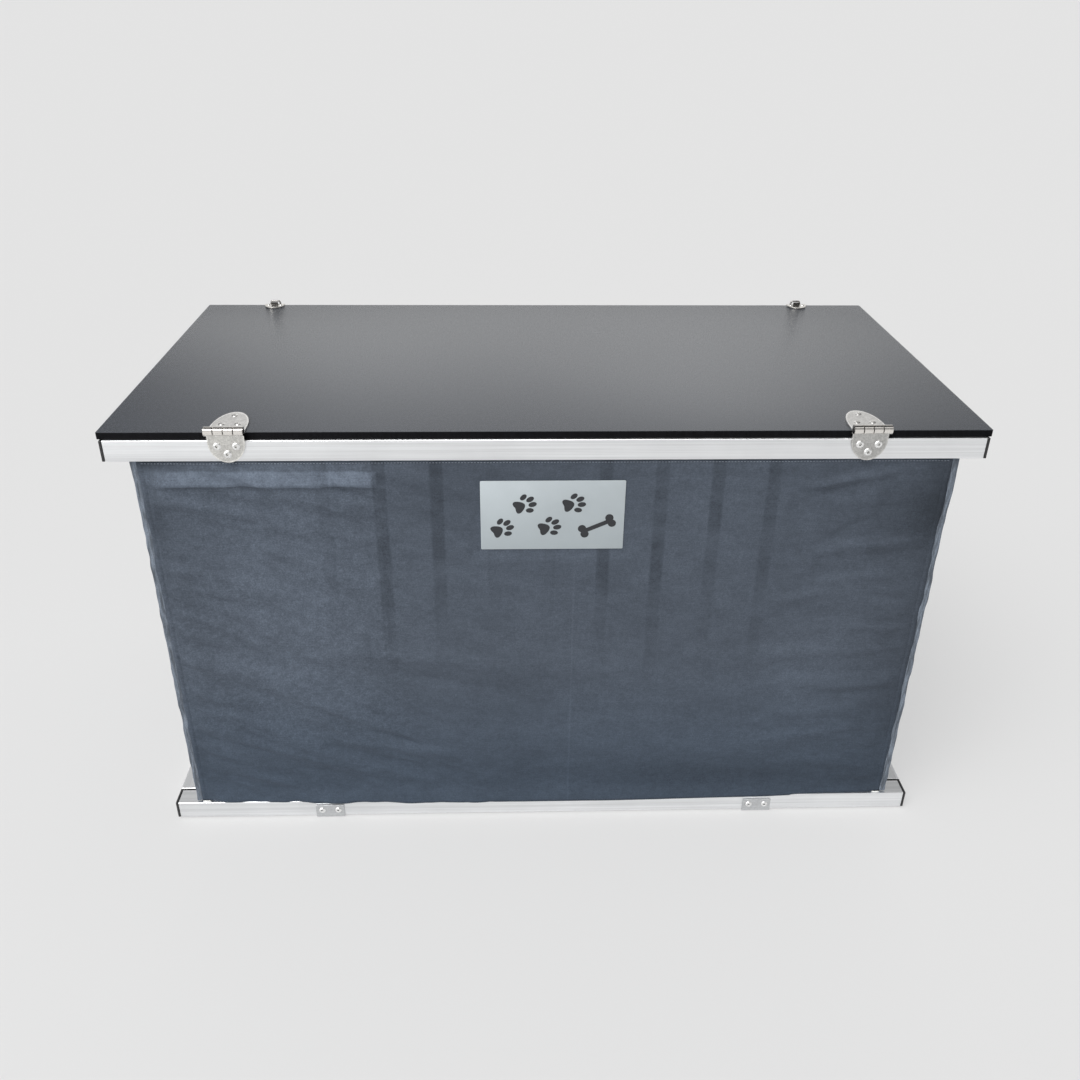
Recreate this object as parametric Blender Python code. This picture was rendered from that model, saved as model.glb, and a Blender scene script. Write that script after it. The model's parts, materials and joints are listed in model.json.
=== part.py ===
"""A box-shaped grooming table: a hinged plate top on an aluminium tube frame with fabric walls.

Metres, +Z up, -Y is the front. The origin is the middle of the footprint, at floor level.
"""

import math

import bmesh
import bpy
from mathutils import Matrix, Vector

GAP = 0.0003
EDGE_BEVEL = 0.0005
CUTTER_SPARE = 0.005

# The plate and the frame under it
PLATE_W = 1.000
PLATE_D = 0.500
PLATE_T = 0.008
PLATE_SET_BACK = 0.0036
TUBE = 0.025
TUBE_WALL = 0.0015
FRAME_W = 0.994
FRAME_D = 0.500
FRAME_H = 0.5527
CAP_T = 0.003
CAP_PLUG = 0.012

# Bars, walls and floor
BAR_COUNT = 15
BAR_PITCH = 0.0645
BAR_D = 0.015
BAR_WALL = 0.0012
STRIP_W = 0.0144
STRIP_T = 0.002
COVER_W = 0.930
COVER_T = 0.0014
LABEL_W = 0.167
LABEL_H = 0.089
LABEL_T = 0.0005
LABEL_X = 0.004
LABEL_DROP = 0.0265
FLOOR_T = 0.009
FLOOR_CLEAR = 0.002

# Hinges
HINGE_X = 0.358
KNUCKLE_R = 0.0045
KNUCKLE_L = 0.011
KNUCKLES = 4
PIN_R = 0.002
PIN_BORE_R = 0.0023
LEAF_W = 0.041
LEAF_T = 0.002
LEAF_START = 0.005
TOP_LEAF_TIP = 0.0635
TOP_LEAF_STRAIGHT = 0.020
FRONT_LEAF_TIP = 0.0385
FRONT_LEAF_STRAIGHT = 0.014

# Draw latches
LATCH_X = 0.400
LATCH_PIVOT_OUT = 0.008
LATCH_OUT = 0.015
BASE_W = 0.022
BASE_H = 0.023
BASE_T = 0.0015
EAR_X = 0.008
EAR_R = 0.004
LEVER_X = 0.007
LEVER_T = 0.0015
LEVER_FACE = 0.0035
LEVER_L = 0.034
LEVER_FLARE = 0.004
CHEEK_STRAIGHT = 0.012
CHEEK_END = 0.016
LATCH_PIN_R = 0.0015
BAIL_R = 0.00125
BAIL_ARM = 0.009
BAIL_LOW_X = 0.0112
BAIL_HIGH_X = 0.0062
BAIL_LEAN = 0.0018
BAIL_UPRIGHT = 0.016
BAIL_TURN = 0.001
BAIL_CLEAR = 0.0008
BAIL_ABOVE_PLATE = 0.0055
PIN_SPARE = 0.001
KEEPER_W = 0.029
KEEPER_D = 0.021
KEEPER_T = 0.0015
KEEPER_STRAIGHT = 0.005
HOOK_W = 0.010
HOOK_H = 0.0055
HOOK_SET_BACK = 0.0045
HOOK_T = 0.0015
HOOK_LIP = 0.003
HOOK_LIP_T = 0.0013

# Angle brackets that hold the floor and stand the frame off the ground
BRACKET_X = 0.291
BRACKET_W = 0.038
BRACKET_T = 0.002
BRACKET_H = 0.0212
BRACKET_REACH = 0.045

# Levels and faces that follow from the sizes above
HINGE_OUT = GAP + KNUCKLE_R + KNUCKLE_R
FRONT = HINGE_OUT - (FRAME_D + HINGE_OUT + LATCH_OUT) / 2
REAR = FRONT + FRAME_D
BOTTOM = BRACKET_T + GAP
TOP = BOTTOM + FRAME_H
PLATE_LOW = TOP + GAP
PLATE_HIGH = PLATE_LOW + PLATE_T
PLATE_FRONT = FRONT + PLATE_SET_BACK
PLATE_REAR = PLATE_FRONT + PLATE_D
HINGE_Y = FRONT - GAP - KNUCKLE_R
HINGE_Z = PLATE_HIGH + GAP + KNUCKLE_R
WALL_LOW = BOTTOM + TUBE + GAP
WALL_HIGH = TOP - TUBE - GAP
GRID_Y = (FRONT + TUBE / 2, REAR - TUBE / 2)
COVER_INSET = TUBE / 2 - BAR_D / 2 - GAP


def clear_scene():
    for item in list(bpy.data.objects):
        bpy.data.objects.remove(item, do_unlink=True)


def material(name, color, roughness, metallic=0.0):
    made = bpy.data.materials.new(name)
    made.use_nodes = True
    shader = made.node_tree.nodes["Principled BSDF"]
    shader.inputs["Base Color"].default_value = (*color, 1.0)
    shader.inputs["Roughness"].default_value = roughness
    shader.inputs["Metallic"].default_value = metallic
    return made


def new_object(name, bm, finish=None):
    bmesh.ops.recalc_face_normals(bm, faces=bm.faces)
    mesh = bpy.data.meshes.new(name)
    bm.to_mesh(mesh)
    bm.free()
    made = bpy.data.objects.new(name, mesh)
    bpy.context.scene.collection.objects.link(made)
    if finish:
        mesh.materials.append(finish)
    return made


def box(name, low, high, finish=None, bevel=0.0):
    """A box from its lowest to its highest corner, with its origin at its centre."""
    size = Vector(high) - Vector(low)
    bm = bmesh.new()
    bmesh.ops.create_cube(bm, size=1.0)
    bmesh.ops.scale(bm, vec=size, verts=bm.verts)
    if bevel:
        bmesh.ops.bevel(
            bm, geom=bm.edges[:], offset=bevel, segments=1, affect="EDGES", profile=0.5
        )
    made = new_object(name, bm, finish)
    made.location = (Vector(low) + Vector(high)) / 2
    return made


def prism(name, outline, low, high, normal, finish=None):
    """An outline of (u, v) points, drawn on the plane across normal and extruded from low to high.

    The outline's u and v run along Y and Z for normal X, and along X and Y for normal Z,
    and along X and Z for normal Y.
    """
    place = {
        "X": lambda u, v, w: (w, u, v),
        "Y": lambda u, v, w: (u, w, v),
        "Z": lambda u, v, w: (u, v, w),
    }[normal]
    bm = bmesh.new()
    first = [bm.verts.new(place(u, v, low)) for u, v in outline]
    face = bm.faces.new(first)
    run = Vector(place(0, 0, high - low))
    grown = bmesh.ops.extrude_face_region(bm, geom=[face])
    moved = [item for item in grown["geom"] if isinstance(item, bmesh.types.BMVert)]
    bmesh.ops.translate(bm, verts=moved, vec=run)
    return new_object(name, bm, finish)


def rod(name, centre, radius, length, axis, finish=None, segments=16):
    """A cylinder of this length, centred on a point, along X or Z."""
    turn = Matrix.Rotation(math.pi / 2, 4, "Y") if axis == "X" else Matrix.Identity(4)
    bm = bmesh.new()
    bmesh.ops.create_cone(
        bm,
        cap_ends=True,
        segments=segments,
        radius1=radius,
        radius2=radius,
        depth=length,
        matrix=turn,
    )
    made = new_object(name, bm, finish)
    made.location = centre
    return made


def joined(name, pieces):
    """Separate helper pieces gathered in one mesh, which a Boolean then uses as one."""
    bm = bmesh.new()
    for piece in pieces:
        bpy.context.view_layer.update()
        mesh = piece.data.copy()
        mesh.transform(piece.matrix_world)
        bm.from_mesh(mesh)
        bpy.data.meshes.remove(mesh)
        bpy.data.objects.remove(piece, do_unlink=True)
    return new_object(name, bm)


def combine(target, helper, operation):
    """Unions a helper into the target, or cuts it out, and removes the helper."""
    modifier = target.modifiers.new(operation.lower(), "BOOLEAN")
    modifier.operation = operation
    modifier.solver = "EXACT"
    modifier.object = helper
    bpy.context.view_layer.update()
    graph = bpy.context.evaluated_depsgraph_get()
    old = target.data
    finish = list(old.materials)
    target.data = bpy.data.meshes.new_from_object(target.evaluated_get(graph))
    target.data.materials.clear()
    for item in finish:
        target.data.materials.append(item)
    target.modifiers.clear()
    bpy.data.meshes.remove(old)
    bpy.data.objects.remove(helper, do_unlink=True)
    target.data.name = target.name


def smooth(made, degrees=35):
    made.data.shade_smooth()
    made.data.set_sharp_from_angle(angle=math.radians(degrees))


def put_origin(made, point):
    """Moves the object's origin to a point, such as one on its joint's axis, leaving its shape in place."""
    bpy.context.view_layer.update()
    shift = made.matrix_world.inverted() @ Vector(point)
    made.data.transform(Matrix.Translation(-shift))
    made.location = Vector(point)


def arc(centre, radius, start, end, steps):
    """Points on an arc, in degrees, ends included."""
    points = []
    for i in range(steps + 1):
        angle = math.radians(start + (end - start) * i / steps)
        points.append((centre[0] + radius * math.cos(angle), centre[1] + radius * math.sin(angle)))
    return points


def half_oval(start, straight, tip, half_width, steps=16):
    """A tongue's outline: straight sides from start, then half an ellipse out to the tip."""
    points = [(half_width, start)]
    for i in range(steps + 1):
        angle = math.pi * i / steps
        points.append(
            (half_width * math.cos(angle), straight + (tip - straight) * math.sin(angle))
        )
    points.append((-half_width, start))
    return points


def make_table_top(finish):
    low = (-PLATE_W / 2, PLATE_FRONT, PLATE_LOW)
    high = (PLATE_W / 2, PLATE_REAR, PLATE_HIGH)
    top = box("table_top", low, high, finish, bevel=EDGE_BEVEL)
    put_origin(top, (0, HINGE_Y, HINGE_Z))


def make_tube(name, low, high, along, finish):
    """A square tube, open at both ends."""
    tube = box(name, low, high, finish, bevel=EDGE_BEVEL)
    inner_low = [c + TUBE_WALL for c in low]
    inner_high = [c - TUBE_WALL for c in high]
    inner_low[along] = low[along] - CAP_T
    inner_high[along] = high[along] + CAP_T
    combine(tube, box("tube_bore", inner_low, inner_high), "DIFFERENCE")


def make_cap(name, face_low, face_high, along, side, finish):
    """An end cap: a flange as large as the tube, with a plug that goes into it."""
    flange = box(name, face_low, face_high, finish, bevel=EDGE_BEVEL)
    plug_low = [c + TUBE_WALL + GAP for c in face_low]
    plug_high = [c - TUBE_WALL - GAP for c in face_high]
    if side > 0:
        plug_low[along] = face_low[along] - CAP_PLUG
        plug_high[along] = face_high[along] - CAP_T / 2
    else:
        plug_low[along] = face_low[along] + CAP_T / 2
        plug_high[along] = face_high[along] + CAP_PLUG
    combine(flange, box("plug", plug_low, plug_high), "UNION")


def make_capped_rail(rail, caps, low, high, along, metal, plastic):
    """A tube between two end caps, all within one box from low to high."""
    tube_low = list(low)
    tube_high = list(high)
    tube_low[along] += CAP_T + GAP
    tube_high[along] -= CAP_T + GAP
    make_tube(rail, tube_low, tube_high, along, metal)
    near_high = list(high)
    near_high[along] = low[along] + CAP_T
    make_cap(caps[0], low, near_high, along, -1, plastic)
    far_low = list(low)
    far_low[along] = high[along] - CAP_T
    make_cap(caps[1], far_low, high, along, 1, plastic)


def make_frame(metal, plastic):
    for level, z in (("bottom", BOTTOM), ("top", TOP - TUBE)):
        for side, y in (("front", FRONT), ("rear", REAR - TUBE)):
            low = (-FRAME_W / 2, y, z)
            high = (FRAME_W / 2, y + TUBE, z + TUBE)
            caps = [f"{level}_{side}_rail_cap_{end}" for end in ("left", "right")]
            make_capped_rail(f"{level}_{side}_rail", caps, low, high, 0, metal, plastic)
        for side, x in (("left", -FRAME_W / 2), ("right", FRAME_W / 2 - TUBE)):
            low = (x, FRONT + TUBE + GAP, z)
            high = (x + TUBE, REAR - TUBE - GAP, z + TUBE)
            caps = [f"{level}_{side}_rail_cap_{end}" for end in ("front", "rear")]
            make_capped_rail(f"{level}_{side}_rail", caps, low, high, 1, metal, plastic)


def bar_positions():
    middle = (BAR_COUNT - 1) / 2
    return [(i - middle) * BAR_PITCH for i in range(BAR_COUNT)]


def make_bar_grid(name, y, finish):
    """Upright tubes between two thin strips that locate them on the rails."""
    half = (BAR_COUNT - 1) / 2 * BAR_PITCH + BAR_D / 2
    height = WALL_HIGH - WALL_LOW
    middle = (WALL_HIGH + WALL_LOW) / 2
    strips = []
    for bottom in (WALL_LOW, WALL_HIGH - STRIP_T):
        low = (-half, y - STRIP_W / 2, bottom)
        high = (half, y + STRIP_W / 2, bottom + STRIP_T)
        strips.append(box("strip", low, high))
    bars = []
    bores = []
    for x in bar_positions():
        centre = (x, y, middle)
        bars.append(rod("bar", centre, BAR_D / 2, height - STRIP_T, "Z", segments=12))
        length = height + CUTTER_SPARE
        bores.append(rod("bore", centre, BAR_D / 2 - BAR_WALL, length, "Z", segments=12))
    grid = joined(name, strips)
    grid.data.materials.append(finish)
    combine(grid, joined("bars", bars), "UNION")
    combine(grid, joined("bores", bores), "DIFFERENCE")
    smooth(grid)


def make_walls(cloth, print_finish):
    half = COVER_W / 2
    front = FRONT + COVER_INSET
    rear = REAR - COVER_INSET
    low, high = WALL_LOW + GAP, WALL_HIGH - GAP
    box("cover_front", (-half, front - COVER_T, low), (half, front, high), cloth)
    box("cover_rear", (-half, rear, low), (half, rear + COVER_T, high), cloth)
    for name, side in (("cover_left", -1), ("cover_right", 1)):
        inner, outer = sorted((side * (half - COVER_T), side * half))
        box(name, (inner, front + GAP, low), (outer, rear - GAP, high), cloth)
    face = front - COVER_T - GAP
    left = LABEL_X - LABEL_W / 2
    top = WALL_HIGH - LABEL_DROP
    low_corner = (left, face - LABEL_T, top - LABEL_H)
    box("label_patch", low_corner, (left + LABEL_W, face, top), print_finish)


def make_floor_board(finish):
    side = FRAME_W / 2 - TUBE - FLOOR_CLEAR
    low = (-side, FRONT + TUBE + FLOOR_CLEAR, BRACKET_T + GAP)
    high = (side, REAR - TUBE - FLOOR_CLEAR, BRACKET_T + GAP + FLOOR_T)
    box("floor_board", low, high, finish, bevel=EDGE_BEVEL)


def make_bracket(name, x, face, inward, finish):
    """An angle plate: one leg on the rail's face, and one that reaches in under the floor board."""
    outer = face - inward * (GAP + BRACKET_T)
    inner = face - inward * GAP
    bend = BRACKET_T
    tip = face + inward * BRACKET_REACH
    outline = [(outer, bend / 2), (outer, BRACKET_H), (inner, BRACKET_H), (inner, BRACKET_T)]
    outline += [(tip, BRACKET_T), (tip, 0), (outer + inward * bend / 2, 0)]
    half = BRACKET_W / 2
    prism(name, outline, x - half, x + half, "X", finish)


def make_hinge_leaf(name, x, upper, finish):
    """One leaf with its tangs and knuckles. The upper leaf lies on the plate, the other on the rail."""
    half = LEAF_W / 2
    if upper:
        outline = half_oval(LEAF_START, TOP_LEAF_STRAIGHT, TOP_LEAF_TIP, half)
        leaf = prism(name, outline, -KNUCKLE_R, LEAF_T - KNUCKLE_R, "Z", finish)
    else:
        outline = half_oval(LEAF_START, FRONT_LEAF_STRAIGHT, FRONT_LEAF_TIP, half)
        outline = [(u, -v) for u, v in outline]
        leaf = prism(name, outline, KNUCKLE_R - LEAF_T, KNUCKLE_R, "Y", finish)
    start = -KNUCKLES * KNUCKLE_L / 2
    for i in range(1 if upper else 0, KNUCKLES, 2):
        low = start + i * KNUCKLE_L + GAP / 2
        high = start + (i + 1) * KNUCKLE_L - GAP / 2
        centre = ((low + high) / 2, 0, 0)
        reach = LEAF_START + LEAF_T / 2
        if upper:
            tang = box("tang", (low, 0, -KNUCKLE_R), (high, reach, LEAF_T - KNUCKLE_R))
        else:
            tang = box("tang", (low, KNUCKLE_R - LEAF_T, -reach), (high, KNUCKLE_R, 0))
        combine(leaf, tang, "UNION")
        combine(leaf, rod("knuckle", centre, KNUCKLE_R, high - low, "X"), "UNION")
    length = KNUCKLES * KNUCKLE_L + CUTTER_SPARE
    combine(leaf, rod("pin_bore", (0, 0, 0), PIN_BORE_R, length, "X"), "DIFFERENCE")
    leaf.location = (x, HINGE_Y, HINGE_Z)
    smooth(leaf)


def make_hinge(side, x, finish):
    make_hinge_leaf(f"{side}_hinge_top_leaf", x, True, finish)
    make_hinge_leaf(f"{side}_hinge_front_leaf", x, False, finish)
    length = KNUCKLES * KNUCKLE_L
    pin = rod(f"{side}_hinge_pin", (x, HINGE_Y, HINGE_Z), PIN_R, length, "X", finish)
    smooth(pin)


def make_latch_base(name, x, y, z, finish):
    """A plate on the rail with two ears that hold the lever's pin. y and z are the pin's axis."""
    back = y - LATCH_PIVOT_OUT + GAP
    low = (x - BASE_W / 2, back, z - BASE_H / 2)
    base = box(name, low, (x + BASE_W / 2, back + BASE_T, z + BASE_H / 2), finish, bevel=EDGE_BEVEL)
    outline = [(back + BASE_T / 2, z - EAR_R)]
    outline += arc((y, z), EAR_R, -90, 90, 10)
    outline += [(back + BASE_T / 2, z + EAR_R)]
    for side in (-1, 1):
        inner, outer = sorted((x + side * EAR_X, x + side * (EAR_X + BASE_T)))
        combine(base, prism("ear", outline, inner, outer, "X"), "UNION")
    bore = rod("bore", (x, y, z), LATCH_PIN_R + GAP, BASE_W * 2, "X")
    combine(base, bore, "DIFFERENCE")
    smooth(base)


def make_latch_lever(name, x, y, z, finish):
    """A channel that hangs from the pin, with a flared grip at its lower end."""
    face = y + LEVER_FACE
    low = z - LEVER_L
    flare = y - LATCH_PIVOT_OUT + LATCH_OUT
    outline = [(face, z), (face, low), (flare - LEVER_T, low - LEVER_FLARE)]
    outline += [(flare, low - LEVER_FLARE + LEVER_T / 2)]
    outline += [(face + LEVER_T, low + LEVER_T), (face + LEVER_T, z)]
    lever = prism(name, outline, x - LEVER_X, x + LEVER_X, "X", finish)
    cheek = arc((y, z), LEVER_FACE, 15, 180, 10)
    cheek += [(y - LEVER_FACE, z - CHEEK_STRAIGHT), (face + LEVER_T / 2, z - CHEEK_END)]
    cheek += [(face + LEVER_T / 2, z - GAP)]
    for side in (-1, 1):
        inner, outer = sorted((x + side * (LEVER_X - LEVER_T), x + side * LEVER_X))
        combine(lever, prism("cheek", cheek, inner, outer, "X"), "UNION")
    bore = rod("pin_bore", (x, y, z), LATCH_PIN_R + GAP, BASE_W, "X")
    combine(lever, bore, "DIFFERENCE")
    bore = rod("bail_bore", (x, y, z - BAIL_ARM), BAIL_R + GAP, BASE_W, "X")
    combine(lever, bore, "DIFFERENCE")
    put_origin(lever, (x, y, z))
    smooth(lever)


def make_latch_bail(name, x, y, z, finish):
    """A wire loop with its two ends turned in through the lever's cheeks."""
    top = PLATE_HIGH + BAIL_ABOVE_PLATE
    foot = z - BAIL_ARM
    inner = LEVER_X - LEVER_T - BAIL_CLEAR
    lean = y - BAIL_LEAN
    half = [(inner, y, foot), (BAIL_LOW_X - BAIL_TURN, y, foot)]
    half += [(BAIL_LOW_X, y, foot + BAIL_TURN), (BAIL_LOW_X, y, foot + BAIL_UPRIGHT)]
    half += [(BAIL_HIGH_X, lean, top - BAIL_TURN), (BAIL_HIGH_X - BAIL_TURN, lean, top)]
    points = [(-px, py, pz) for px, py, pz in half] + half[::-1]
    curve = bpy.data.curves.new(name, "CURVE")
    curve.dimensions = "3D"
    curve.bevel_depth = BAIL_R
    curve.bevel_resolution = 2
    curve.use_fill_caps = True
    spline = curve.splines.new("POLY")
    spline.points.add(len(points) - 1)
    for i, (px, py, pz) in enumerate(points):
        spline.points[i].co = (px, py - y, pz - foot, 1.0)
    bail = bpy.data.objects.new(name, curve)
    bpy.context.scene.collection.objects.link(bail)
    bail.location = (x, y, foot)
    curve.materials.append(finish)


def make_keeper(name, x, finish):
    """A half-round plate on the table top, with an upright tongue turned forward at its tip."""
    low = PLATE_HIGH + GAP
    tongue = half_oval(0, KEEPER_STRAIGHT, KEEPER_D, KEEPER_W / 2)
    outline = [(x + u, PLATE_REAR - v) for u, v in tongue]
    keeper = prism(name, outline, low, low + KEEPER_T, "Z", finish)
    back = PLATE_REAR - HOOK_SET_BACK
    front = back - HOOK_T
    lip = back - HOOK_LIP
    foot = low + KEEPER_T / 2
    tip = low + HOOK_H
    hook = [(back, foot), (back, tip), (lip, tip), (lip, tip - HOOK_LIP_T)]
    hook += [(front, tip - HOOK_LIP_T - GAP), (front, foot)]
    combine(keeper, prism("hook", hook, x - HOOK_W / 2, x + HOOK_W / 2, "X"), "UNION")
    put_origin(keeper, (x, HINGE_Y, HINGE_Z))
    smooth(keeper)


def make_latch(side, x, finish):
    y = REAR + LATCH_PIVOT_OUT
    z = TOP - TUBE / 2
    make_latch_base(f"{side}_latch_base", x, y, z, finish)
    make_latch_lever(f"{side}_latch_lever", x, y, z, finish)
    make_latch_bail(f"{side}_latch_bail", x, y, z, finish)
    length = 2 * (EAR_X + BASE_T) + PIN_SPARE
    pin = rod(f"{side}_latch_pin", (x, y, z), LATCH_PIN_R, length, "X", finish)
    smooth(pin)
    make_keeper(f"{side}_latch_keeper", x, finish)


def main():
    clear_scene()
    aluminium = material("aluminium", (0.78, 0.79, 0.81), 0.32, 1.0)
    plastic = material("cap_plastic", (0.02, 0.02, 0.022), 0.5)
    laminate = material("top_laminate", (0.055, 0.055, 0.062), 0.4)
    stainless = material("stainless", (0.62, 0.60, 0.57), 0.28, 1.0)
    bracket_steel = material("bracket_steel", (0.55, 0.56, 0.57), 0.4, 1.0)
    cloth = material("cover_cloth", (0.075, 0.10, 0.13), 0.85)
    label = material("label_print", (0.66, 0.72, 0.77), 0.7)
    board = material("floor_board", (0.16, 0.16, 0.17), 0.6)
    make_table_top(laminate)
    make_frame(aluminium, plastic)
    make_bar_grid("front_bar_grid", GRID_Y[0], aluminium)
    make_bar_grid("rear_bar_grid", GRID_Y[1], aluminium)
    make_walls(cloth, label)
    make_floor_board(board)
    for side, sign in (("left", -1), ("right", 1)):
        make_hinge(side, sign * HINGE_X, stainless)
        make_latch(side, sign * LATCH_X, stainless)
        x = sign * BRACKET_X
        make_bracket(f"front_{side}_bracket", x, FRONT, 1, bracket_steel)
        make_bracket(f"rear_{side}_bracket", x, REAR, -1, bracket_steel)


main()
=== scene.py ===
"""Looks of the grooming table: cloth cover, plate, extruded rails, hinges and latches, on a pale floor."""

import json
import math

import bmesh
import bpy
import numpy as np
from mathutils import Matrix, Vector


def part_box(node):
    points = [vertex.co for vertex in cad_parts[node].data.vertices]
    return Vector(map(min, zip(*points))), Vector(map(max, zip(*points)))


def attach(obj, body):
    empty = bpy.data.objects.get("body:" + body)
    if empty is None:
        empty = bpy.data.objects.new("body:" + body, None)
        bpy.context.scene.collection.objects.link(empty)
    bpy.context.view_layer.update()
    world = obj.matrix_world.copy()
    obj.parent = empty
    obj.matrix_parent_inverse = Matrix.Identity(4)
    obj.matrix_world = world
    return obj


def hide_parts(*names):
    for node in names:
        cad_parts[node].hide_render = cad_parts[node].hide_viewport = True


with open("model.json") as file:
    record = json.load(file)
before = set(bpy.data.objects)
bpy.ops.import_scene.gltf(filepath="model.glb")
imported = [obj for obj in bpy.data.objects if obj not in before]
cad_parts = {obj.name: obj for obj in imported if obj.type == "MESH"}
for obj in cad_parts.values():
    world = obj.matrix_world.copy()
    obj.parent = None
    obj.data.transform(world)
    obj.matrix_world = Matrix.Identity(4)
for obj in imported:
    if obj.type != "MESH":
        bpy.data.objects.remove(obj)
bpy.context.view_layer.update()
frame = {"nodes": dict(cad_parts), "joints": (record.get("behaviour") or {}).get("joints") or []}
SIDES = (("left", -1), ("right", 1))

# Places read from the frame
PLATE_LOW, PLATE_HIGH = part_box("table_top")
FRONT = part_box("top_front_rail")[0].y
COVER_LOW, COVER_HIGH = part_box("cover_front")
COVER_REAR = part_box("cover_rear")[1].y
JOINTS = {joint["name"]: Vector(joint["pos_m"]) for joint in frame["joints"]}
HINGE_AXIS = JOINTS["lid_hinge"]
BASE_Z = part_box("bottom_front_rail")[0].z
MM = 0.001

# Hinges: the leaves' outlines start straight and end in half an oval.
KNUCKLE_R = 4.5 * MM
ROLL_R = 5.2 * MM
KNUCKLE_L = 11 * MM
KNUCKLE_GAP = 1.1 * MM
LEAF_T = 2 * MM
LEAF_HALF = 20.5 * MM
UPPER_STRAIGHT, UPPER_TIP = 20 * MM, 63.5 * MM
LOWER_STRAIGHT, LOWER_TIP = 14 * MM, 38.5 * MM


# ---------------------------------------------------------------- shader helpers


class Value:
    """A shader node's output. Arithmetic on it adds math nodes."""

    def __init__(self, socket):
        self.socket = socket

    def __add__(self, other):
        return math_node("ADD", self, other)

    def __radd__(self, other):
        return math_node("ADD", other, self)

    def __sub__(self, other):
        return math_node("SUBTRACT", self, other)

    def __rsub__(self, other):
        return math_node("SUBTRACT", other, self)

    def __mul__(self, other):
        return math_node("MULTIPLY", self, other)

    def __truediv__(self, other):
        return math_node("DIVIDE", self, other)

    def __abs__(self):
        return math_node("ABSOLUTE", self)


def tree_of(*values):
    """The node tree that the first shader output among the values belongs to."""
    return next(value.socket.id_data for value in values if isinstance(value, Value))


def new_material(name, color=None, roughness=0.5, metallic=0.0):
    made = bpy.data.materials.new(name)
    made.use_nodes = True
    shader = made.node_tree.nodes["Principled BSDF"]
    shader.inputs["Roughness"].default_value = roughness
    shader.inputs["Metallic"].default_value = metallic
    if color:
        shader.inputs["Base Color"].default_value = (*color, 1)
    return made, shader


def add(tree, kind, inputs=None, **settings):
    """A node, with its settings and the values or links of its inputs."""
    made = tree.nodes.new("ShaderNode" + kind)
    for key, value in settings.items():
        setattr(made, key, value)
    for key, value in (inputs or {}).items():
        if isinstance(value, Value):
            tree.links.new(value.socket, made.inputs[key])
        else:
            made.inputs[key].default_value = value
    return made


def math_node(operation, *values):
    made = add(tree_of(*values), "Math", dict(enumerate(values)), operation=operation)
    return Value(made.outputs[0])


def object_axes(shader):
    """The rest position in metres: as a vector, then its x, y and z."""
    tree = shader.id_data
    place = Value(add(tree, "TexCoord").outputs["Object"])
    split = add(tree, "SeparateXYZ", {0: place})
    return place, *(Value(output) for output in split.outputs)


def stretched(place, scale):
    return Value(add(tree_of(place), "Mapping", {"Vector": place, "Scale": scale}).outputs[0])


def noise(place, scale, detail=2.0, roughness=0.5):
    inputs = {"Vector": place, "Scale": scale, "Detail": detail, "Roughness": roughness}
    return Value(add(tree_of(place), "TexNoise", inputs).outputs[0])


def ramp(value, low, high, out_low=0.0, out_high=1.0):
    """A value mapped smoothly from one range to another."""
    inputs = {"Value": value, 1: low, 2: high, 3: out_low, 4: out_high}
    return Value(add(tree_of(value), "MapRange", inputs, interpolation_type="SMOOTHSTEP").outputs[0])


def varied(value, low, high, reach=0.2):
    """A noise, whose middle is 0.5, mapped smoothly to a range."""
    return ramp(value, 0.5 - reach, 0.5 + reach, low, high)


def blend_colors(share, first, second, mode="MIX"):
    """A mix of two colours, each a shader output or three numbers."""
    colors = [color if isinstance(color, Value) else (*color, 1) for color in (first, second)]
    inputs = {0: share, 6: colors[0], 7: colors[1]}
    made = add(tree_of(share, *colors), "Mix", inputs, data_type="RGBA", blend_type=mode)
    return Value(made.outputs[2])


def scaled_color(color, amount):
    """A colour made lighter or darker by an amount around 1."""
    grey = Value(add(tree_of(amount), "CombineXYZ", {0: amount, 1: amount, 2: amount}).outputs[0])
    return blend_colors(1.0, color, grey, "MULTIPLY")


def link(value, node, name):
    node.id_data.links.new(value.socket, node.inputs[name])


def paint(shader, color, shade, rough=None):
    """The base colour, made lighter or darker by a shade around 1, and the roughness."""
    link(scaled_color(color, shade), shader, "Base Color")
    if rough is not None:
        link(rough, shader, "Roughness")


def set_bump(node, height, distance, strength):
    """Bumps on a shader, or under another bump."""
    made = add(node.id_data, "Bump", {"Height": height, "Distance": distance, "Strength": strength})
    link(Value(made.outputs[0]), node, "Normal")
    return made


# ---------------------------------------------------------------- materials


def make_laminate():
    """The plate's faces: satin anthracite with a fine grain."""
    made, shader = new_material("laminate")
    place = object_axes(shader)[0]
    cloudy = varied(noise(place, 3.1, 2.0), 0.97, 1.03)
    grain = varied(noise(place, 1400.0, 2.0), 0.88, 1.12)
    fine = noise(place, 1100.0, 3.0)
    paint(shader, (0.044, 0.049, 0.058), cloudy * grain, varied(fine, 0.25, 0.29))
    set_bump(shader, fine, 0.03 * MM, 0.5)
    return made


def make_core():
    """The plate's edge: dull black core with faint saw marks."""
    made, shader = new_material("plate_core")
    place = object_axes(shader)[0]
    marks = noise(stretched(place, (500.0, 500.0, 60.0)), 1.0, 3.0)
    paint(shader, (0.004, 0.004, 0.005), varied(marks, 0.75, 1.4), varied(marks, 0.55, 0.75))
    shader.inputs["Specular IOR Level"].default_value = 0.06
    set_bump(shader, marks, 0.05 * MM, 0.5)
    return made


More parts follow.
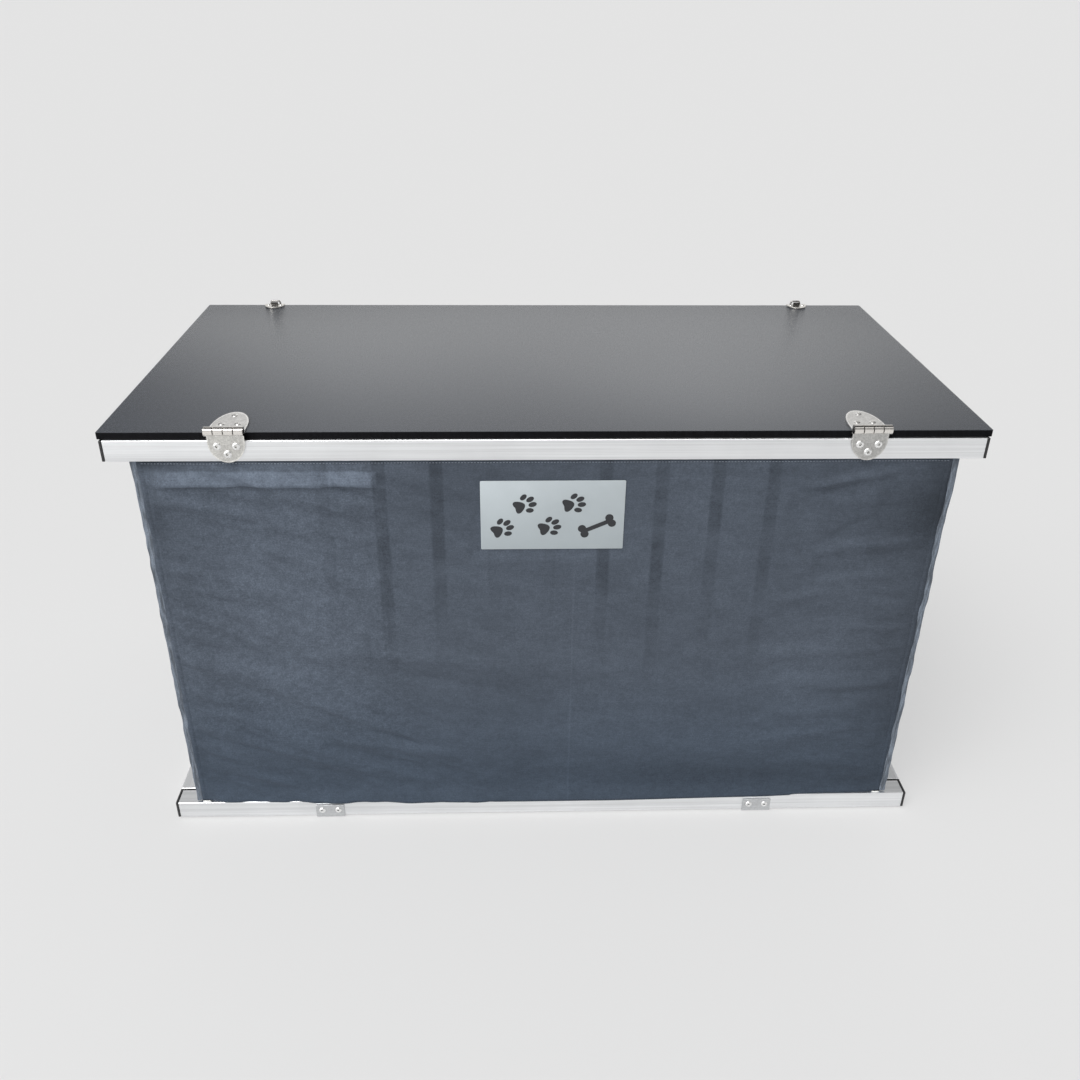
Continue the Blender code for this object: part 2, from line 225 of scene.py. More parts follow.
def make_aluminium(name, along):
    """Extruded tube: fine lines that run along it, a few scuffs, and a soft bloom."""
    made, shader = new_material(name, None, 0.34, 1.0)
    place = object_axes(shader)[0]
    fine = noise(stretched(place, [6.0 if axis == along else 900.0 for axis in range(3)]), 1.0, 3.0)
    broad = noise(stretched(place, [1.5 if axis == along else 220.0 for axis in range(3)]), 1.0, 2.0)
    cloud = noise(place, 14.0, 3.0)
    shade = varied(fine, 0.95, 1.04) * varied(broad, 0.94, 1.05) * varied(cloud, 0.97, 1.02)
    paint(shader, (0.86, 0.87, 0.88), shade, varied(broad, 0.28, 0.42, 0.25))
    set_bump(shader, fine, 0.04 * MM, 0.5)
    return made


def make_cap_plastic():
    """Black moulded plastic."""
    made, shader = new_material("cap_plastic")
    place = object_axes(shader)[0]
    grain = noise(place, 900.0, 2.0)
    rough = varied(noise(place, 60.0, 2.0), 0.42, 0.58)
    paint(shader, (0.014, 0.014, 0.015), varied(grain, 0.8, 1.2), rough)
    set_bump(shader, grain, 0.08 * MM, 0.5)
    return made


def make_steel(name, color, rough, brushed_scale=(8.0, 700.0, 700.0)):
    """Stainless sheet: brushed lines, tiny pits and a slightly uneven polish."""
    made, shader = new_material(name, None, rough, 1.0)
    place = object_axes(shader)[0]
    lines = noise(stretched(place, brushed_scale), 1.0, 3.0)
    pits = noise(place, 520.0, 3.0)
    mixed = varied(lines, 0.93, 1.05) * varied(pits, 0.92, 1.06)
    paint(shader, color, mixed, varied(pits, rough - 0.06, rough + 0.08))
    shader.inputs["Anisotropic"].default_value = 0.25
    set_bump(shader, lines, 0.03 * MM, 0.5)
    return made


# Two painted dark reflections along the knuckles: middle and half width in degrees up from the front, and
# strength.
KNUCKLE_REFLECTIONS = [(67.0, 22.0, 0.98), (31.0, 9.0, 0.90)]


def make_hinge_steel(name, color, front):
    """Speckled stainless leaf with a painted highlight round its rim, and knuckles with painted dark
    reflections. Its origin lies on the hinge axis.
    """
    made, shader = new_material(name, None, 0.3, 1.0)
    place, x, y, z = object_axes(shader)
    pits = noise(place, 620.0, 3.0, 0.65)
    soft = noise(place, 130.0, 2.0)
    squares = y * y + z * z
    knuckle = ramp(math_node("SQRT", squares), ROLL_R + 0.05 * MM, ROLL_R + 0.3 * MM, 1.0, 0.0)
    reach = z * -1.0 if front else y
    straight, tip = (LOWER_STRAIGHT, LOWER_TIP) if front else (UPPER_STRAIGHT, UPPER_TIP)
    past = math_node("MAXIMUM", reach - straight, 0.0) / (tip - straight)
    across = x / LEAF_HALF
    squares = past * past + across * across
    # A painted highlight round the leaf's rim, where its eased edge catches the light.
    rim = ramp(math_node("SQRT", squares), 0.91, 0.96)
    shade = varied(pits, 0.8, 1.14) * varied(soft, 0.92, 1.06) * (rim * 0.32 + 1.0)
    angle = math_node("ARCTAN2", z, y * -1.0)
    # The painted dark reflections make the knuckle dull, dark and not metal where they lie.
    clear = 1.0
    for middle, half, strength in KNUCKLE_REFLECTIONS:
        line = line_at(angle, math.radians(middle), math.radians(half)) * -strength
        clear = (line + 1.0) * clear
    dark = (1.0 - clear) * knuckle
    leaf_color = scaled_color(color, shade)
    knuckle_color = scaled_color((0.84, 0.81, 0.77), clear)
    link(blend_colors(knuckle, leaf_color, knuckle_color), shader, "Base Color")
    link(ramp(knuckle, 0.0, 1.0, 0.36, 0.22) + dark * 0.5, shader, "Roughness")
    link(1.0 - dark, shader, "Metallic")
    shader.inputs["Specular IOR Level"].default_value = 0.15
    set_bump(shader, pits * (1.0 - knuckle), 0.05 * MM, 0.5)
    return made


BAR_PITCH = 64.5 * MM
BAR_HALF = 7.5 * MM


def bar_shadow(x, z, place):
    """Dark bands where the cloth lies on the bars, strong near the top and gone near the floor."""
    steps = x / BAR_PITCH
    away = abs(steps - math_node("ROUND", steps))
    half = BAR_HALF / BAR_PITCH
    band = ramp(away, half * 0.75, half * 1.25, 1.0, 0.0)
    uneven = noise(stretched(place, (13.0, 1.0, 0.5)), 1.0, 1.0) * 0.16
    height = ramp(z + uneven, BASE_Z + 0.29, BASE_Z + 0.52)
    left = ramp(abs(x + 0.165), 0.045, 0.13, 1.0, 0.0)
    right = ramp(abs(x - 0.143), 0.08, 0.17, 1.0, 0.0)
    reach = math_node("MAXIMUM", math_node("MAXIMUM", left, right), 0.16)
    patchy = ramp(noise(stretched(place, (7.0, 1.0, 22.0)), 1.0, 3.0), 0.35, 0.6, 0.45, 1.05)
    return band * height * reach * patchy


def spot(value, centre, half):
    """One at the centre, falling smoothly to zero at half a width away."""
    away = abs(value - centre)
    return ramp(away, 0.0, half, 1.0, 0.0)


# Painted light and shade on the front, lighter and darker areas: middle and half width in x, the same in z,
# and the change.
FRONT_AREAS = [
    (0.490, 0.130, 0.250, 0.400, -0.26),
    (0.440, 0.100, 0.450, 0.075, -0.20),
    (0.475, 0.075, 0.490, 0.100, -0.35),
    (0.250, 0.450, 0.050, 0.065, -0.24),
    (-0.460, 0.050, 0.090, 0.090, -0.16),
    (-0.460, 0.040, 0.460, 0.060, -0.20),
    (-0.290, 0.190, 0.370, 0.250, 0.26),
    (-0.330, 0.150, 0.190, 0.100, 0.10),
    (-0.455, 0.090, 0.524, 0.012, -0.45),
    (0.395, 0.080, 0.503, 0.008, 0.16),
    (0.330, 0.120, 0.250, 0.120, 0.11),
    (0.200, 0.220, 0.370, 0.220, 0.09),
    (-0.090, 0.110, 0.480, 0.070, -0.12),
]

# The doubled band along the top of the front, left of the fold, which faces up and gets a painted
# highlight: its ends and edges.
BAND_ENDS = (-0.457, -0.198)
BAND_EDGES = (0.4965, 0.5155)
BAND_HIGHLIGHT = 0.56


def top_band_highlight(x, z, place):
    """One where the band gets its painted highlight, with uneven edges."""
    uneven = noise(stretched(place, (30.0, 1.0, 90.0)), 1.0, 3.0) * 0.006
    height = z + (uneven - 0.003)
    low = ramp(height, BASE_Z + BAND_EDGES[0] - 0.0012, BASE_Z + BAND_EDGES[0] + 0.0012)
    high = ramp(height, BASE_Z + BAND_EDGES[1] - 0.002, BASE_Z + BAND_EDGES[1] + 0.001, 1.0, 0.0)
    left = ramp(x, BAND_ENDS[0], BAND_ENDS[0] + 0.04)
    right = ramp(x, BAND_ENDS[1], BAND_ENDS[1] + 0.003, 1.0, 0.0)
    return low * high * (left * right)


def painted_light_areas(x, z, y, place):
    """Where painted light and shade make the front wall's cloth paler or darker, the doubled band's painted
    highlight among them.
    """
    total = 1.0
    front = ramp(y, COVER_LOW.y + 0.006, COVER_LOW.y + 0.012, 1.0, 0.0)
    for x_mid, x_half, z_mid, z_half, change in FRONT_AREAS:
        amount = spot(x, x_mid, x_half) * spot(z, BASE_Z + z_mid, z_half)
        total = amount * change + total
    # The band's painted highlight.
    total = top_band_highlight(x, z, place) * BAND_HIGHLIGHT + total
    return (total - 1.0) * front + 1.0


def line_at(x, centre, half):
    away = abs(x - centre)
    return ramp(away, half * 0.4, half, 1.0, 0.0)


CREASE_FINE = 31 * MM
CREASE_FOLD = -197 * MM
THREAD = 0.55 * MM


def make_cloth():
    """Slate polyester: plain weave, heather grain and soft creases in the bump, with painted light and
    shade: lighter and darker areas, shade towards the bottom, highlights along two creases and the bars'
    shadows showing through.
    """
    made, shader = new_material("cover_cloth")
    place, x, y, z = object_axes(shader)
    run = x + y
    turn = 2 * math.pi / THREAD
    weave = math_node("SINE", run * turn) * math_node("SINE", z * turn)
    grain = noise(place, 620.0, 3.0, 0.7)
    slub = noise(stretched(place, (60.0, 60.0, 900.0)), 1.0, 2.0)
    cloud = noise(place, 5.0, 3.0)
    shade = varied(grain, 0.82, 1.18, 0.25) * varied(slub, 0.95, 1.05) * varied(cloud, 0.94, 1.06)
    shade = shade * ramp(weave, -1.0, 1.0, 0.93, 1.07)
    patches = noise(stretched(place, (38.0, 38.0, 62.0)), 1.0, 3.0, 0.6)
    for mottle in (noise(place, 190.0, 3.0, 0.6), patches):
        shade = shade * varied(mottle, 0.93, 1.07, 0.25)
    brushed = ramp(x, -0.2, -0.14, 1.0, 0.0) * ramp(z, BASE_Z + 0.06, BASE_Z + 0.16)
    coarse = varied(noise(place, 430.0, 2.0, 0.7), -0.13, 0.13, 0.25)
    coarse = coarse + varied(noise(place, 120.0, 3.0, 0.65), -0.09, 0.09, 0.25)
    shade = shade * (coarse * brushed + 1.0)
    # Painted light and shade over the front wall.
    shade = shade * painted_light_areas(x, z, y, place)
    faces_out = ramp(abs(x), 0.452, 0.455, 1.0, 0.0)
    bars = bar_shadow(x, z, place) * faces_out
    shade = shade * (1.0 - bars * 0.3)
    # Painted highlights along two creases too fine for the mesh: a thin one, and the fold at the left.
    fine = line_at(x, CREASE_FINE, 1.6 * MM) * faces_out * ramp(z, BASE_Z + 0.4, BASE_Z + 0.37)
    shade = shade + fine * 0.12
    fold = line_at(x, CREASE_FOLD, 2.0 * MM) * faces_out
    shade = shade + fold * 0.05
    # Darker towards the bottom: painted shade; the lower colour is also a little bluer.
    low = ramp(z, BASE_Z + 0.02, BASE_Z + 0.3)
    color = blend_colors(low, (0.05, 0.066, 0.09), (0.065, 0.078, 0.099))
    paint(shader, color, shade)
    settings = {"Roughness": 0.82, "Specular IOR Level": 0.12, "Sheen Weight": 0.06}
    settings |= {"Sheen Roughness": 0.4, "Sheen Tint": (0.75, 0.85, 1.0, 1)}
    for name, value in settings.items():
        shader.inputs[name].default_value = value
    height = weave * 0.5 + grain * 1.4
    soft = noise(stretched(place, (18.0, 18.0, 60.0)), 1.0, 3.0)
    first = set_bump(shader, height, 0.09 * MM, 0.6)
    set_bump(first, soft, 1.2 * MM, 0.35)
    return made


def make_label_cloth():
    made, shader = new_material("label_cloth")
    place, x, y, z = object_axes(shader)
    turn = 2 * math.pi / (0.35 * MM)
    weave = math_node("SINE", x * turn) * math_node("SINE", z * turn)
    cloud = noise(place, 22.0, 3.0)
    shade = ramp(weave, -1.0, 1.0, 0.97, 1.03) * varied(cloud, 0.97, 1.03)
    low = ramp(z, BASE_Z + 0.41, BASE_Z + 0.5)
    color = blend_colors(low, (0.37, 0.41, 0.43), (0.41, 0.45, 0.47))
    paint(shader, color, shade, varied(cloud, 0.65, 0.75))
    shader.inputs["Specular IOR Level"].default_value = 0.2
    set_bump(shader, weave, 0.04 * MM, 0.5)
    return made


def make_print():
    made, shader = new_material("print_ink")
    place = object_axes(shader)[0]
    speck = noise(place, 1500.0, 2.0)
    paint(shader, (0.016, 0.017, 0.02), varied(speck, 0.7, 1.5), varied(speck, 0.5, 0.7))
    return made


def make_board():
    """Film-faced ply: dark faces with a wire pattern, and pale layers at the edge."""
    made, shader = new_material("board_film")
    place, x, y, z = object_axes(shader)
    low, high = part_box("floor_board")
    turn = 2 * math.pi / (4.0 * MM)
    first = math_node("SINE", (x + y) * turn)
    second = math_node("SINE", (x - y) * turn)
    net = math_node("MAXIMUM", first, second)
    middle = (low.z + high.z) / 2
    away = abs(z - middle)
    face = ramp(away, (high.z - low.z) / 2 - 1.0 * MM, (high.z - low.z) / 2 - 0.8 * MM)
    plies = math_node("SINE", z * (2 * math.pi / (2.0 * MM)))
    edge = blend_colors(ramp(plies, -0.4, 0.4), (0.3, 0.2, 0.12), (0.48, 0.35, 0.22))
    film = scaled_color((0.055, 0.05, 0.048), varied(noise(place, 9.0, 4.0), 0.85, 1.15))
    link(blend_colors(face, edge, film), shader, "Base Color")
    link(ramp(net, 0.6, 1.0, 0.38, 0.5), shader, "Roughness")
    set_bump(shader, net, 0.12 * MM, 0.5)
    return made


def make_webbing():
    made, shader = new_material("white_webbing")
    place, *_, z = object_axes(shader)
    ribs = math_node("SINE", z * (2 * math.pi / (0.8 * MM)))
    fuzz = noise(place, 800.0, 2.0)
    shade = ramp(ribs, -1.0, 1.0, 0.9, 1.05) * varied(fuzz, 0.93, 1.05)
    paint(shader, (0.78, 0.78, 0.76), shade, varied(fuzz, 0.7, 0.85))
    set_bump(shader, ribs, 0.1 * MM, 0.6)
    return made


def make_binding_cloth():
    """Crimped tape, a little paler than the cover."""
    made, shader = new_material("seam_binding", None, 0.8)
    place = object_axes(shader)[0]
    weave = noise(stretched(place, (1300.0, 1300.0, 600.0)), 1.0, 3.0)
    folds = noise(stretched(place, (420.0, 420.0, 45.0)), 1.0, 3.0)
    # Darker in the crimps and lighter on their crests: painted shade and light.
    shade = varied(weave, 0.8, 1.2) * ramp(folds, 0.32, 0.68, 0.6, 1.5)
    paint(shader, (0.098, 0.116, 0.142), shade)
    set_bump(shader, folds, 0.5 * MM, 0.7)
    return made


def make_thread():
    made, shader = new_material("thread")
    place = object_axes(shader)[0]
    twist = noise(place, 2500.0, 2.0)
    paint(shader, (0.21, 0.24, 0.285), varied(twist, 0.75, 1.3), varied(twist, 0.6, 0.8))
    return made


LAMINATE = make_laminate()
CORE = make_core()
TUBE_X = make_aluminium("tube_along_x", 0)
TUBE_Y = make_aluminium("tube_along_y", 1)
TUBE_Z = make_aluminium("tube_along_z", 2)
CAP = make_cap_plastic()
STAINLESS = make_steel("stainless", (0.70, 0.68, 0.64), 0.30)
# The leaves are lit and shaded copies of one steel: the upper leaf painted lighter, the right front leaf
# painted darker.
UPPER_LEAF = make_hinge_steel("upper_leaf_steel", (0.72, 0.71, 0.69), False)
FRONT_LEAVES = {
    "left": make_hinge_steel("left_leaf_steel", (0.66, 0.65, 0.62), True),
    "right": make_hinge_steel("right_leaf_steel", (0.52, 0.515, 0.50), True),
}
# Steel painted dark for shade and dark reflections: the hinge pins in the knuckle gaps and the keepers'
# hooks.
PAINTED_DARK_STEEL = make_steel("painted_dark_steel", (0.07, 0.068, 0.066), 0.4)
BAIL_STEEL = make_steel("bail_steel", (0.34, 0.33, 0.32), 0.28)
RIVET_METAL = make_steel("rivet_aluminium", (0.93, 0.93, 0.92), 0.30, (300.0, 300.0, 300.0))
BRIGHT_STEEL = make_steel("bright_steel", (0.80, 0.79, 0.77), 0.18, (300.0, 300.0, 300.0))
PLATE_STEEL = make_steel("bracket_steel", (0.62, 0.63, 0.64), 0.40)
CLOTH = make_cloth()
LABEL_CLOTH = make_label_cloth()
PRINT = make_print()
BOARD = make_board()
WEBBING = make_webbing()
THREAD_MATERIAL = make_thread()
BINDING = make_binding_cloth()


# ---------------------------------------------------------------- mesh helpers


def in_scene(name, data):
    made = bpy.data.objects.new(name, data)
    bpy.context.scene.collection.objects.link(made)
    return made


def object_from(name, bm, material, smooth_angle=35):
    bmesh.ops.recalc_face_normals(bm, faces=bm.faces)
    mesh = bpy.data.meshes.new(name)
    bm.to_mesh(mesh)
    bm.free()
    made = in_scene(name, mesh)
    mesh.materials.append(material)
    mesh.shade_smooth()
    mesh.set_sharp_from_angle(angle=math.radians(smooth_angle))
    return made


def box_mesh(bm, low, high):
    low, high = Vector(low), Vector(high)
    grown = bmesh.ops.create_cube(bm, size=1.0)["verts"]
    bmesh.ops.scale(bm, vec=high - low, verts=grown)
    bmesh.ops.translate(bm, vec=(low + high) / 2, verts=grown)


def prism_mesh(bm, outline, low, high, normal):
    """Extrudes an outline across normal: (y, z) points for X, (x, z) for Y and (x, y) for Z."""
    place = {
        "X": lambda u, v, w: (w, u, v),
        "Y": lambda u, v, w: (u, w, v),
        "Z": lambda u, v, w: (u, v, w),
    }[normal]
    first = [bm.verts.new(place(u, v, low)) for u, v in outline]
    face = bm.faces.new(first)
    grown = bmesh.ops.extrude_face_region(bm, geom=[face])["geom"]
    moved = [item for item in grown if isinstance(item, bmesh.types.BMVert)]
    bmesh.ops.translate(bm, verts=moved, vec=place(0, 0, high - low))


def rod_mesh(bm, centre, radius, length):
    """A round rod along X."""
    matrix = Matrix.Translation(centre) @ Matrix.Rotation(math.pi / 2, 4, "Y")
    values = {"segments": 40, "radius1": radius, "radius2": radius, "depth": length}
    bmesh.ops.create_cone(bm, cap_ends=True, matrix=matrix, **values)


def shaped(name, material, fill, *values):
    """An object whose mesh one of the functions above fills."""
    bm = bmesh.new()
    fill(bm, *values)
    return object_from(name, bm, material)


def helper(fill, *values):
    """A short-lived object that a Boolean uses."""
    return shaped("helper", CAP, fill, *values)


def combine(target, other, operation):
    modifier = target.modifiers.new("combine", "BOOLEAN")
    modifier.operation = operation
    modifier.solver = "EXACT"
    modifier.object = other
    bpy.context.view_layer.update()
    graph = bpy.context.evaluated_depsgraph_get()
    material = target.data.materials[0]
    made = bpy.data.meshes.new_from_object(target.evaluated_get(graph))
    target.modifiers.clear()
    target.data = made
    made.materials.clear()
    made.materials.append(material)
    for polygon in made.polygons:
        polygon.material_index = 0
    bpy.data.objects.remove(other, do_unlink=True)


def soften(made, width, segments=2, angle=40):
    modifier = made.modifiers.new("edges", "BEVEL")
    modifier.width = width
    modifier.segments = segments
    modifier.limit_method = "ANGLE"
    modifier.angle_limit = math.radians(angle)
    modifier.harden_normals = True
    made.data.shade_smooth()
    made.data.set_sharp_from_angle(angle=math.radians(angle))


def settle(made, body, slot, *nodes):
    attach(made, body)
    if nodes:
        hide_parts(*nodes)


def arc(centre, radius, start, end, steps):
    points = []
    for i in range(steps + 1):
        angle = math.radians(start + (end - start) * i / steps)
        points.append((centre[0] + radius * math.cos(angle), centre[1] + radius * math.sin(angle)))
    return points


def half_oval(start, straight, tip, half_width, steps=40):
    points = [(half_width, start)]
    for i in range(steps + 1):
        angle = math.pi * i / steps
        points.append((half_width * math.cos(angle), straight + (tip - straight) * math.sin(angle)))
    points.append((-half_width, start))
    return points


def turned(bm, profile, matrix, segments=32):
    """A profile of (radius, height) points turned about Z, then placed by the matrix."""
    rings = []
    for radius, height in profile:
        if radius < 1e-6:
            rings.append([bm.verts.new(matrix @ Vector((0, 0, height)))])
            continue
        ring = []
        for i in range(segments):
            angle = 2 * math.pi * i / segments
            point = Vector((radius * math.cos(angle), radius * math.sin(angle), height))
            ring.append(bm.verts.new(matrix @ point))
        rings.append(ring)
    for first, second in zip(rings, rings[1:]):
        for i in range(segments):
            corners = [first[i % len(first)], first[(i + 1) % len(first)]]
            corners += [second[(i + 1) % len(second)], second[i % len(second)]]
            unique = list(dict.fromkeys(corners))
            if len(unique) > 2:
                bm.faces.new(unique)


def facing(point, normal, spin=0.0):
    """A matrix that puts local +Z along normal at a point."""
    turn = Vector(normal).to_track_quat("Z", "Y").to_matrix().to_4x4()
    return Matrix.Translation(point) @ turn @ Matrix.Rotation(spin, 4, "Z")


# A pop rivet's radii and heights in millimetres, from the bottom of its mandrel hole to its rim.
RIVET = [(0, -0.9), (1.3, -0.9), (1.4, 0.55), (1.7, 1.15), (2.5, 1.25), (3.5, 1.0), (4.3, 0.45), (4.6, 0.0)]
RIVET_HOLE = 1.45


def rivet_mesh(bm, point, normal, size=1.0):
    """A pop rivet: a domed flange round the mouth of its mandrel hole, whose faces are painted black as
    shade.
    """
    before = len(bm.faces)
    turned(bm, [(r * size * MM, h * size * MM) for r, h in RIVET], facing(point, normal))
    bm.faces.ensure_lookup_table()
    for face in bm.faces[before:]:
        away = face.calc_center_median() - point
        across = away - Vector(normal) * away.dot(Vector(normal))
        # Faces inside the hole take the second, black material: painted shade.
        face.material_index = 1 if across.length < RIVET_HOLE * size * MM else 0


def make_rivets(name, slot, points, normal, size=1.0):
    bm = bmesh.new()
    for point in points:
        rivet_mesh(bm, Vector(point), normal, size)
    rivets = object_from(name, bm, RIVET_METAL, 50)
    rivets.data.materials.append(CORE)
    settle(rivets, "frame", slot)


def screw(name, point, normal, radius, spin):
    """A raised countersunk head with a cross recess."""
    matrix = facing(point, normal, spin)
    bm = bmesh.new()
    profile = [(0, 0.95), (0.35, 0.93), (0.65, 0.78), (0.88, 0.45), (1.0, 0.0), (0.9, -0.4), (0, -0.4)]
    turned(bm, [(r * radius, h * MM) for r, h in profile], matrix)
    made = object_from(name, bm, BRIGHT_STEEL, 50)
    for long, wide in ((0.55, 0.11), (0.11, 0.55)):
        bm = bmesh.new()
        box_mesh(bm, (-long * radius, -wide * radius, 0.2 * MM), (long * radius, wide * radius, 2 * MM))
        bm.transform(matrix)
        combine(made, object_from("helper", bm, CAP), "DIFFERENCE")
    made.data.shade_smooth()
    made.data.set_sharp_from_angle(angle=math.radians(35))
    return made


def join(name, pieces):
    """Several objects as one, in the first one's material slots."""
    bm = bmesh.new()
    material = pieces[0].data.materials[0]
    for piece in pieces:
        bm.from_mesh(piece.data)
        bpy.data.objects.remove(piece, do_unlink=True)
    mesh = bpy.data.meshes.new(name)
    bm.to_mesh(mesh)
    bm.free()
    mesh.materials.append(material)
    return in_scene(name, mesh)


# ---------------------------------------------------------------- camera, light and floor

LENS = 34.104
SENSOR = 36.0
CAMERA_AT = Vector((-0.0482, PLATE_LOW.y - 1.05308, BASE_Z + 1.00325))
CAMERA_PITCH = 0.503
CAMERA_ROLL = 0.011
CAMERA_YAW = 0.036
SKY = 0.25
FLOOR_GLOW = 0.477
FLOOR_GREY = 0.22

# Direction, sharpness and strength of each patch of sky. A negative one is a dark flag.
SKY_PATCHES = [
    ((-0.42, -0.48, 1.0), 14.0, 8.5),
    ((-0.18, 0.92, 0.34), 60.0, 0.46),
    ((0.26, 0.90, 0.34), 60.0, 0.60),
    ((0.04, 0.94, 0.30), 12.0, 0.47),
    ((-0.50, 0.80, 0.34), 40.0, -0.30),
    ((0.55, 0.76, 0.34), 40.0, -0.25),
    ((0.0, -1.0, 0.25), 3.0, 0.30),
    ((-0.10, 0.72, 0.68), 16.0, 0.40),
]
HORIZON_GLOW = 0.45
HORIZON_SHARPNESS = 8.0
KEY_POWER = 2.4
FILL_POWER = 0.55


def make_camera():
    data = bpy.data.cameras.new("camera")
    data.lens = LENS
    data.sensor_width = SENSOR
    data.clip_end = 500.0
    camera = in_scene("camera", data)
    yaw = Matrix.Rotation(CAMERA_YAW, 3, "Z")
    pitch = Matrix.Rotation(CAMERA_PITCH, 3, "X")
    roll = Matrix.Rotation(CAMERA_ROLL, 3, "Y")
    right, forward, up = roll @ pitch @ yaw
    basis = Matrix((right, up, -forward)).transposed().to_4x4()
    camera.matrix_world = Matrix.Translation(CAMERA_AT) @ basis
    bpy.context.scene.camera = camera


def make_light(name, place, target, size, power, spread):
    data = bpy.data.lights.new(name, "AREA")
    data.shape = "RECTANGLE"
    data.size, data.size_y = size
    data.energy = power
    data.spread = math.radians(spread)
    light = in_scene(name, data)
    light.location = place
    light.rotation_mode = "QUATERNION"
    light.rotation_quaternion = (Vector(target) - Vector(place)).to_track_quat("-Z", "Y")
    light.visible_camera = False


def make_fill():
    """A weak, very soft light from the rear right, which no surface mirrors."""
    data = bpy.data.lights.new("fill", "SUN")
    data.angle = math.radians(70)
    data.energy = FILL_POWER
    light = in_scene("fill", data)
    light.rotation_mode = "QUATERNION"
    light.rotation_quaternion = Vector((-1.0, -1.0, -0.8)).to_track_quat("-Z", "Y")
    light.visible_glossy = False


def lobe(heading, direction, sharpness, strength):
    """A soft patch of brighter sky round one direction."""
    inputs = {0: heading, 1: Vector(direction).normalized()}
    near = add(tree_of(heading), "VectorMath", inputs, operation="DOT_PRODUCT").outputs["Value"]
    return math_node("POWER", math_node("MAXIMUM", Value(near), 0.0), sharpness) * strength


def make_world():
    """An even pale sky, with soft patches that shade the rails and shine on the plate."""
    world = bpy.data.worlds.new("world")
    bpy.context.scene.world = world
    world.use_nodes = True
    tree = world.node_tree
    heading = Value(add(tree, "TexCoord").outputs["Generated"])
    light = SKY
    for direction, sharpness, strength in SKY_PATCHES:
        light = light + lobe(heading, direction, sharpness, strength)
    height = abs(Value(add(tree, "SeparateXYZ", {0: heading}).outputs[2]))
    light = light + math_node("POWER", 1.0 - height, HORIZON_SHARPNESS) * HORIZON_GLOW
    grey = add(tree, "CombineXYZ", {0: light, 1: light, 2: light})
    tree.links.new(grey.outputs[0], tree.nodes["Background"].inputs[0])


def make_stage():
    bm = bmesh.new()
    bmesh.ops.create_grid(bm, x_segments=1, y_segments=1, size=150.0)
    material, shader = new_material("floor_paper", (FLOOR_GREY,) * 3, 1.0)
    shader.inputs["Specular IOR Level"].default_value = 0.0
    shader.inputs["Emission Color"].default_value = (1, 1, 1, 1)
    shader.inputs["Emission Strength"].default_value = FLOOR_GLOW
    floor = object_from("floor", bm, material)
    floor.location.z = -0.0002
    make_world()
    make_light("key", (-1.7, -1.7, 0.9), (-0.3, -0.25, 0.35), (0.8, 0.8), KEY_POWER, 70)
    make_fill()
    bpy.context.scene.view_settings.view_transform = "Standard"
    bpy.context.scene.view_settings.look = "None"


# ---------------------------------------------------------------- rails, plate and floor board


def dress_frame():
    nodes = frame["nodes"]
    for name, node in nodes.items():
        if "_cap_" in name:
            material = CAP
        elif name.endswith(("front_rail", "rear_rail")):
            material = TUBE_X
        elif name.endswith(("left_rail", "right_rail")):
            material = TUBE_Y
        elif name == "floor_board":
            material = BOARD
        else:
            material = STAINLESS
        node.data.materials.clear()
        node.data.materials.append(material)


def make_plate():
    """The plate with eased edges: laminate faces, and the core showing at the edge."""
    bm = bmesh.new()
    box_mesh(bm, PLATE_LOW, PLATE_HIGH)
    corners = [edge for edge in bm.edges if abs(edge.verts[0].co.z - edge.verts[1].co.z) > 1e-5]
    bmesh.ops.bevel(bm, geom=corners, offset=2.0 * MM, segments=5, profile=0.5, affect="EDGES")
    rims = [edge for edge in bm.edges if any(abs(face.normal.z) > 0.9 for face in edge.link_faces)]
    bmesh.ops.bevel(bm, geom=rims, offset=0.5 * MM, segments=3, profile=0.5, affect="EDGES")
    for face in bm.faces:
        face.material_index = 0 if abs(face.normal.z) > 0.95 else 1
    plate = object_from("plate", bm, LAMINATE)
    plate.data.materials.append(CORE)
    settle(plate, "lid", "top_laminate", "table_top")


BAR_COUNT = 15
BAR_WALL = 1.2 * MM


def rolled_wall(bottom, top):
    """The section of a bar's wall, with its ends rolled over."""
    outer, middle, inner = BAR_HALF, BAR_HALF - BAR_WALL / 2, BAR_HALF - BAR_WALL
    half = [(inner, 0.4 * MM), (middle, 0.0), (outer, 0.6 * MM)]
    profile = [(radius, bottom + rise) for radius, rise in half]
    profile += [(radius, top - rise) for radius, rise in half[::-1]]
    return profile + profile[:1]


def make_bars():
    """Round bar tubes with rolled ends, and the strips that locate them."""
    for grid in ("front_bar_grid", "rear_bar_grid"):
        low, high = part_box(grid)
        y = (low.y + high.y) / 2
        bm = bmesh.new()
        for i in range(BAR_COUNT):
            x = (i - (BAR_COUNT - 1) / 2) * BAR_PITCH
            profile = rolled_wall(low.z + 0.5 * MM, high.z - 0.5 * MM)
            turned(bm, profile, Matrix.Translation((x, y, 0)), 28)
        bmesh.ops.remove_doubles(bm, verts=bm.verts, dist=1e-6)
        bars = object_from(grid.replace("_grid", "s"), bm, TUBE_Z)
        settle(bars, "frame", "aluminium", grid)
        bm = bmesh.new()
        for bottom in (low.z, high.z - 2 * MM):
            box_mesh(bm, (low.x, low.y, bottom), (high.x, high.y, bottom + 2 * MM))
        strips = object_from(grid.replace("_grid", "_strips"), bm, TUBE_X)
        soften(strips, 0.4 * MM)
        settle(strips, "frame", "aluminium")


# ---------------------------------------------------------------- hinges

# Places on the leaves in millimetres: across, and away from the hinge axis.
LEAF_RIVETS = ((-10.5, 19.0), (10.5, 19.0), (0.0, 28.5))
LEAF_SCREWS = ((-9.0, 27.5), (9.0, 27.5), (0.0, 52.5))
TANG = 6 * MM
PIN_HOLE = 2.3 * MM


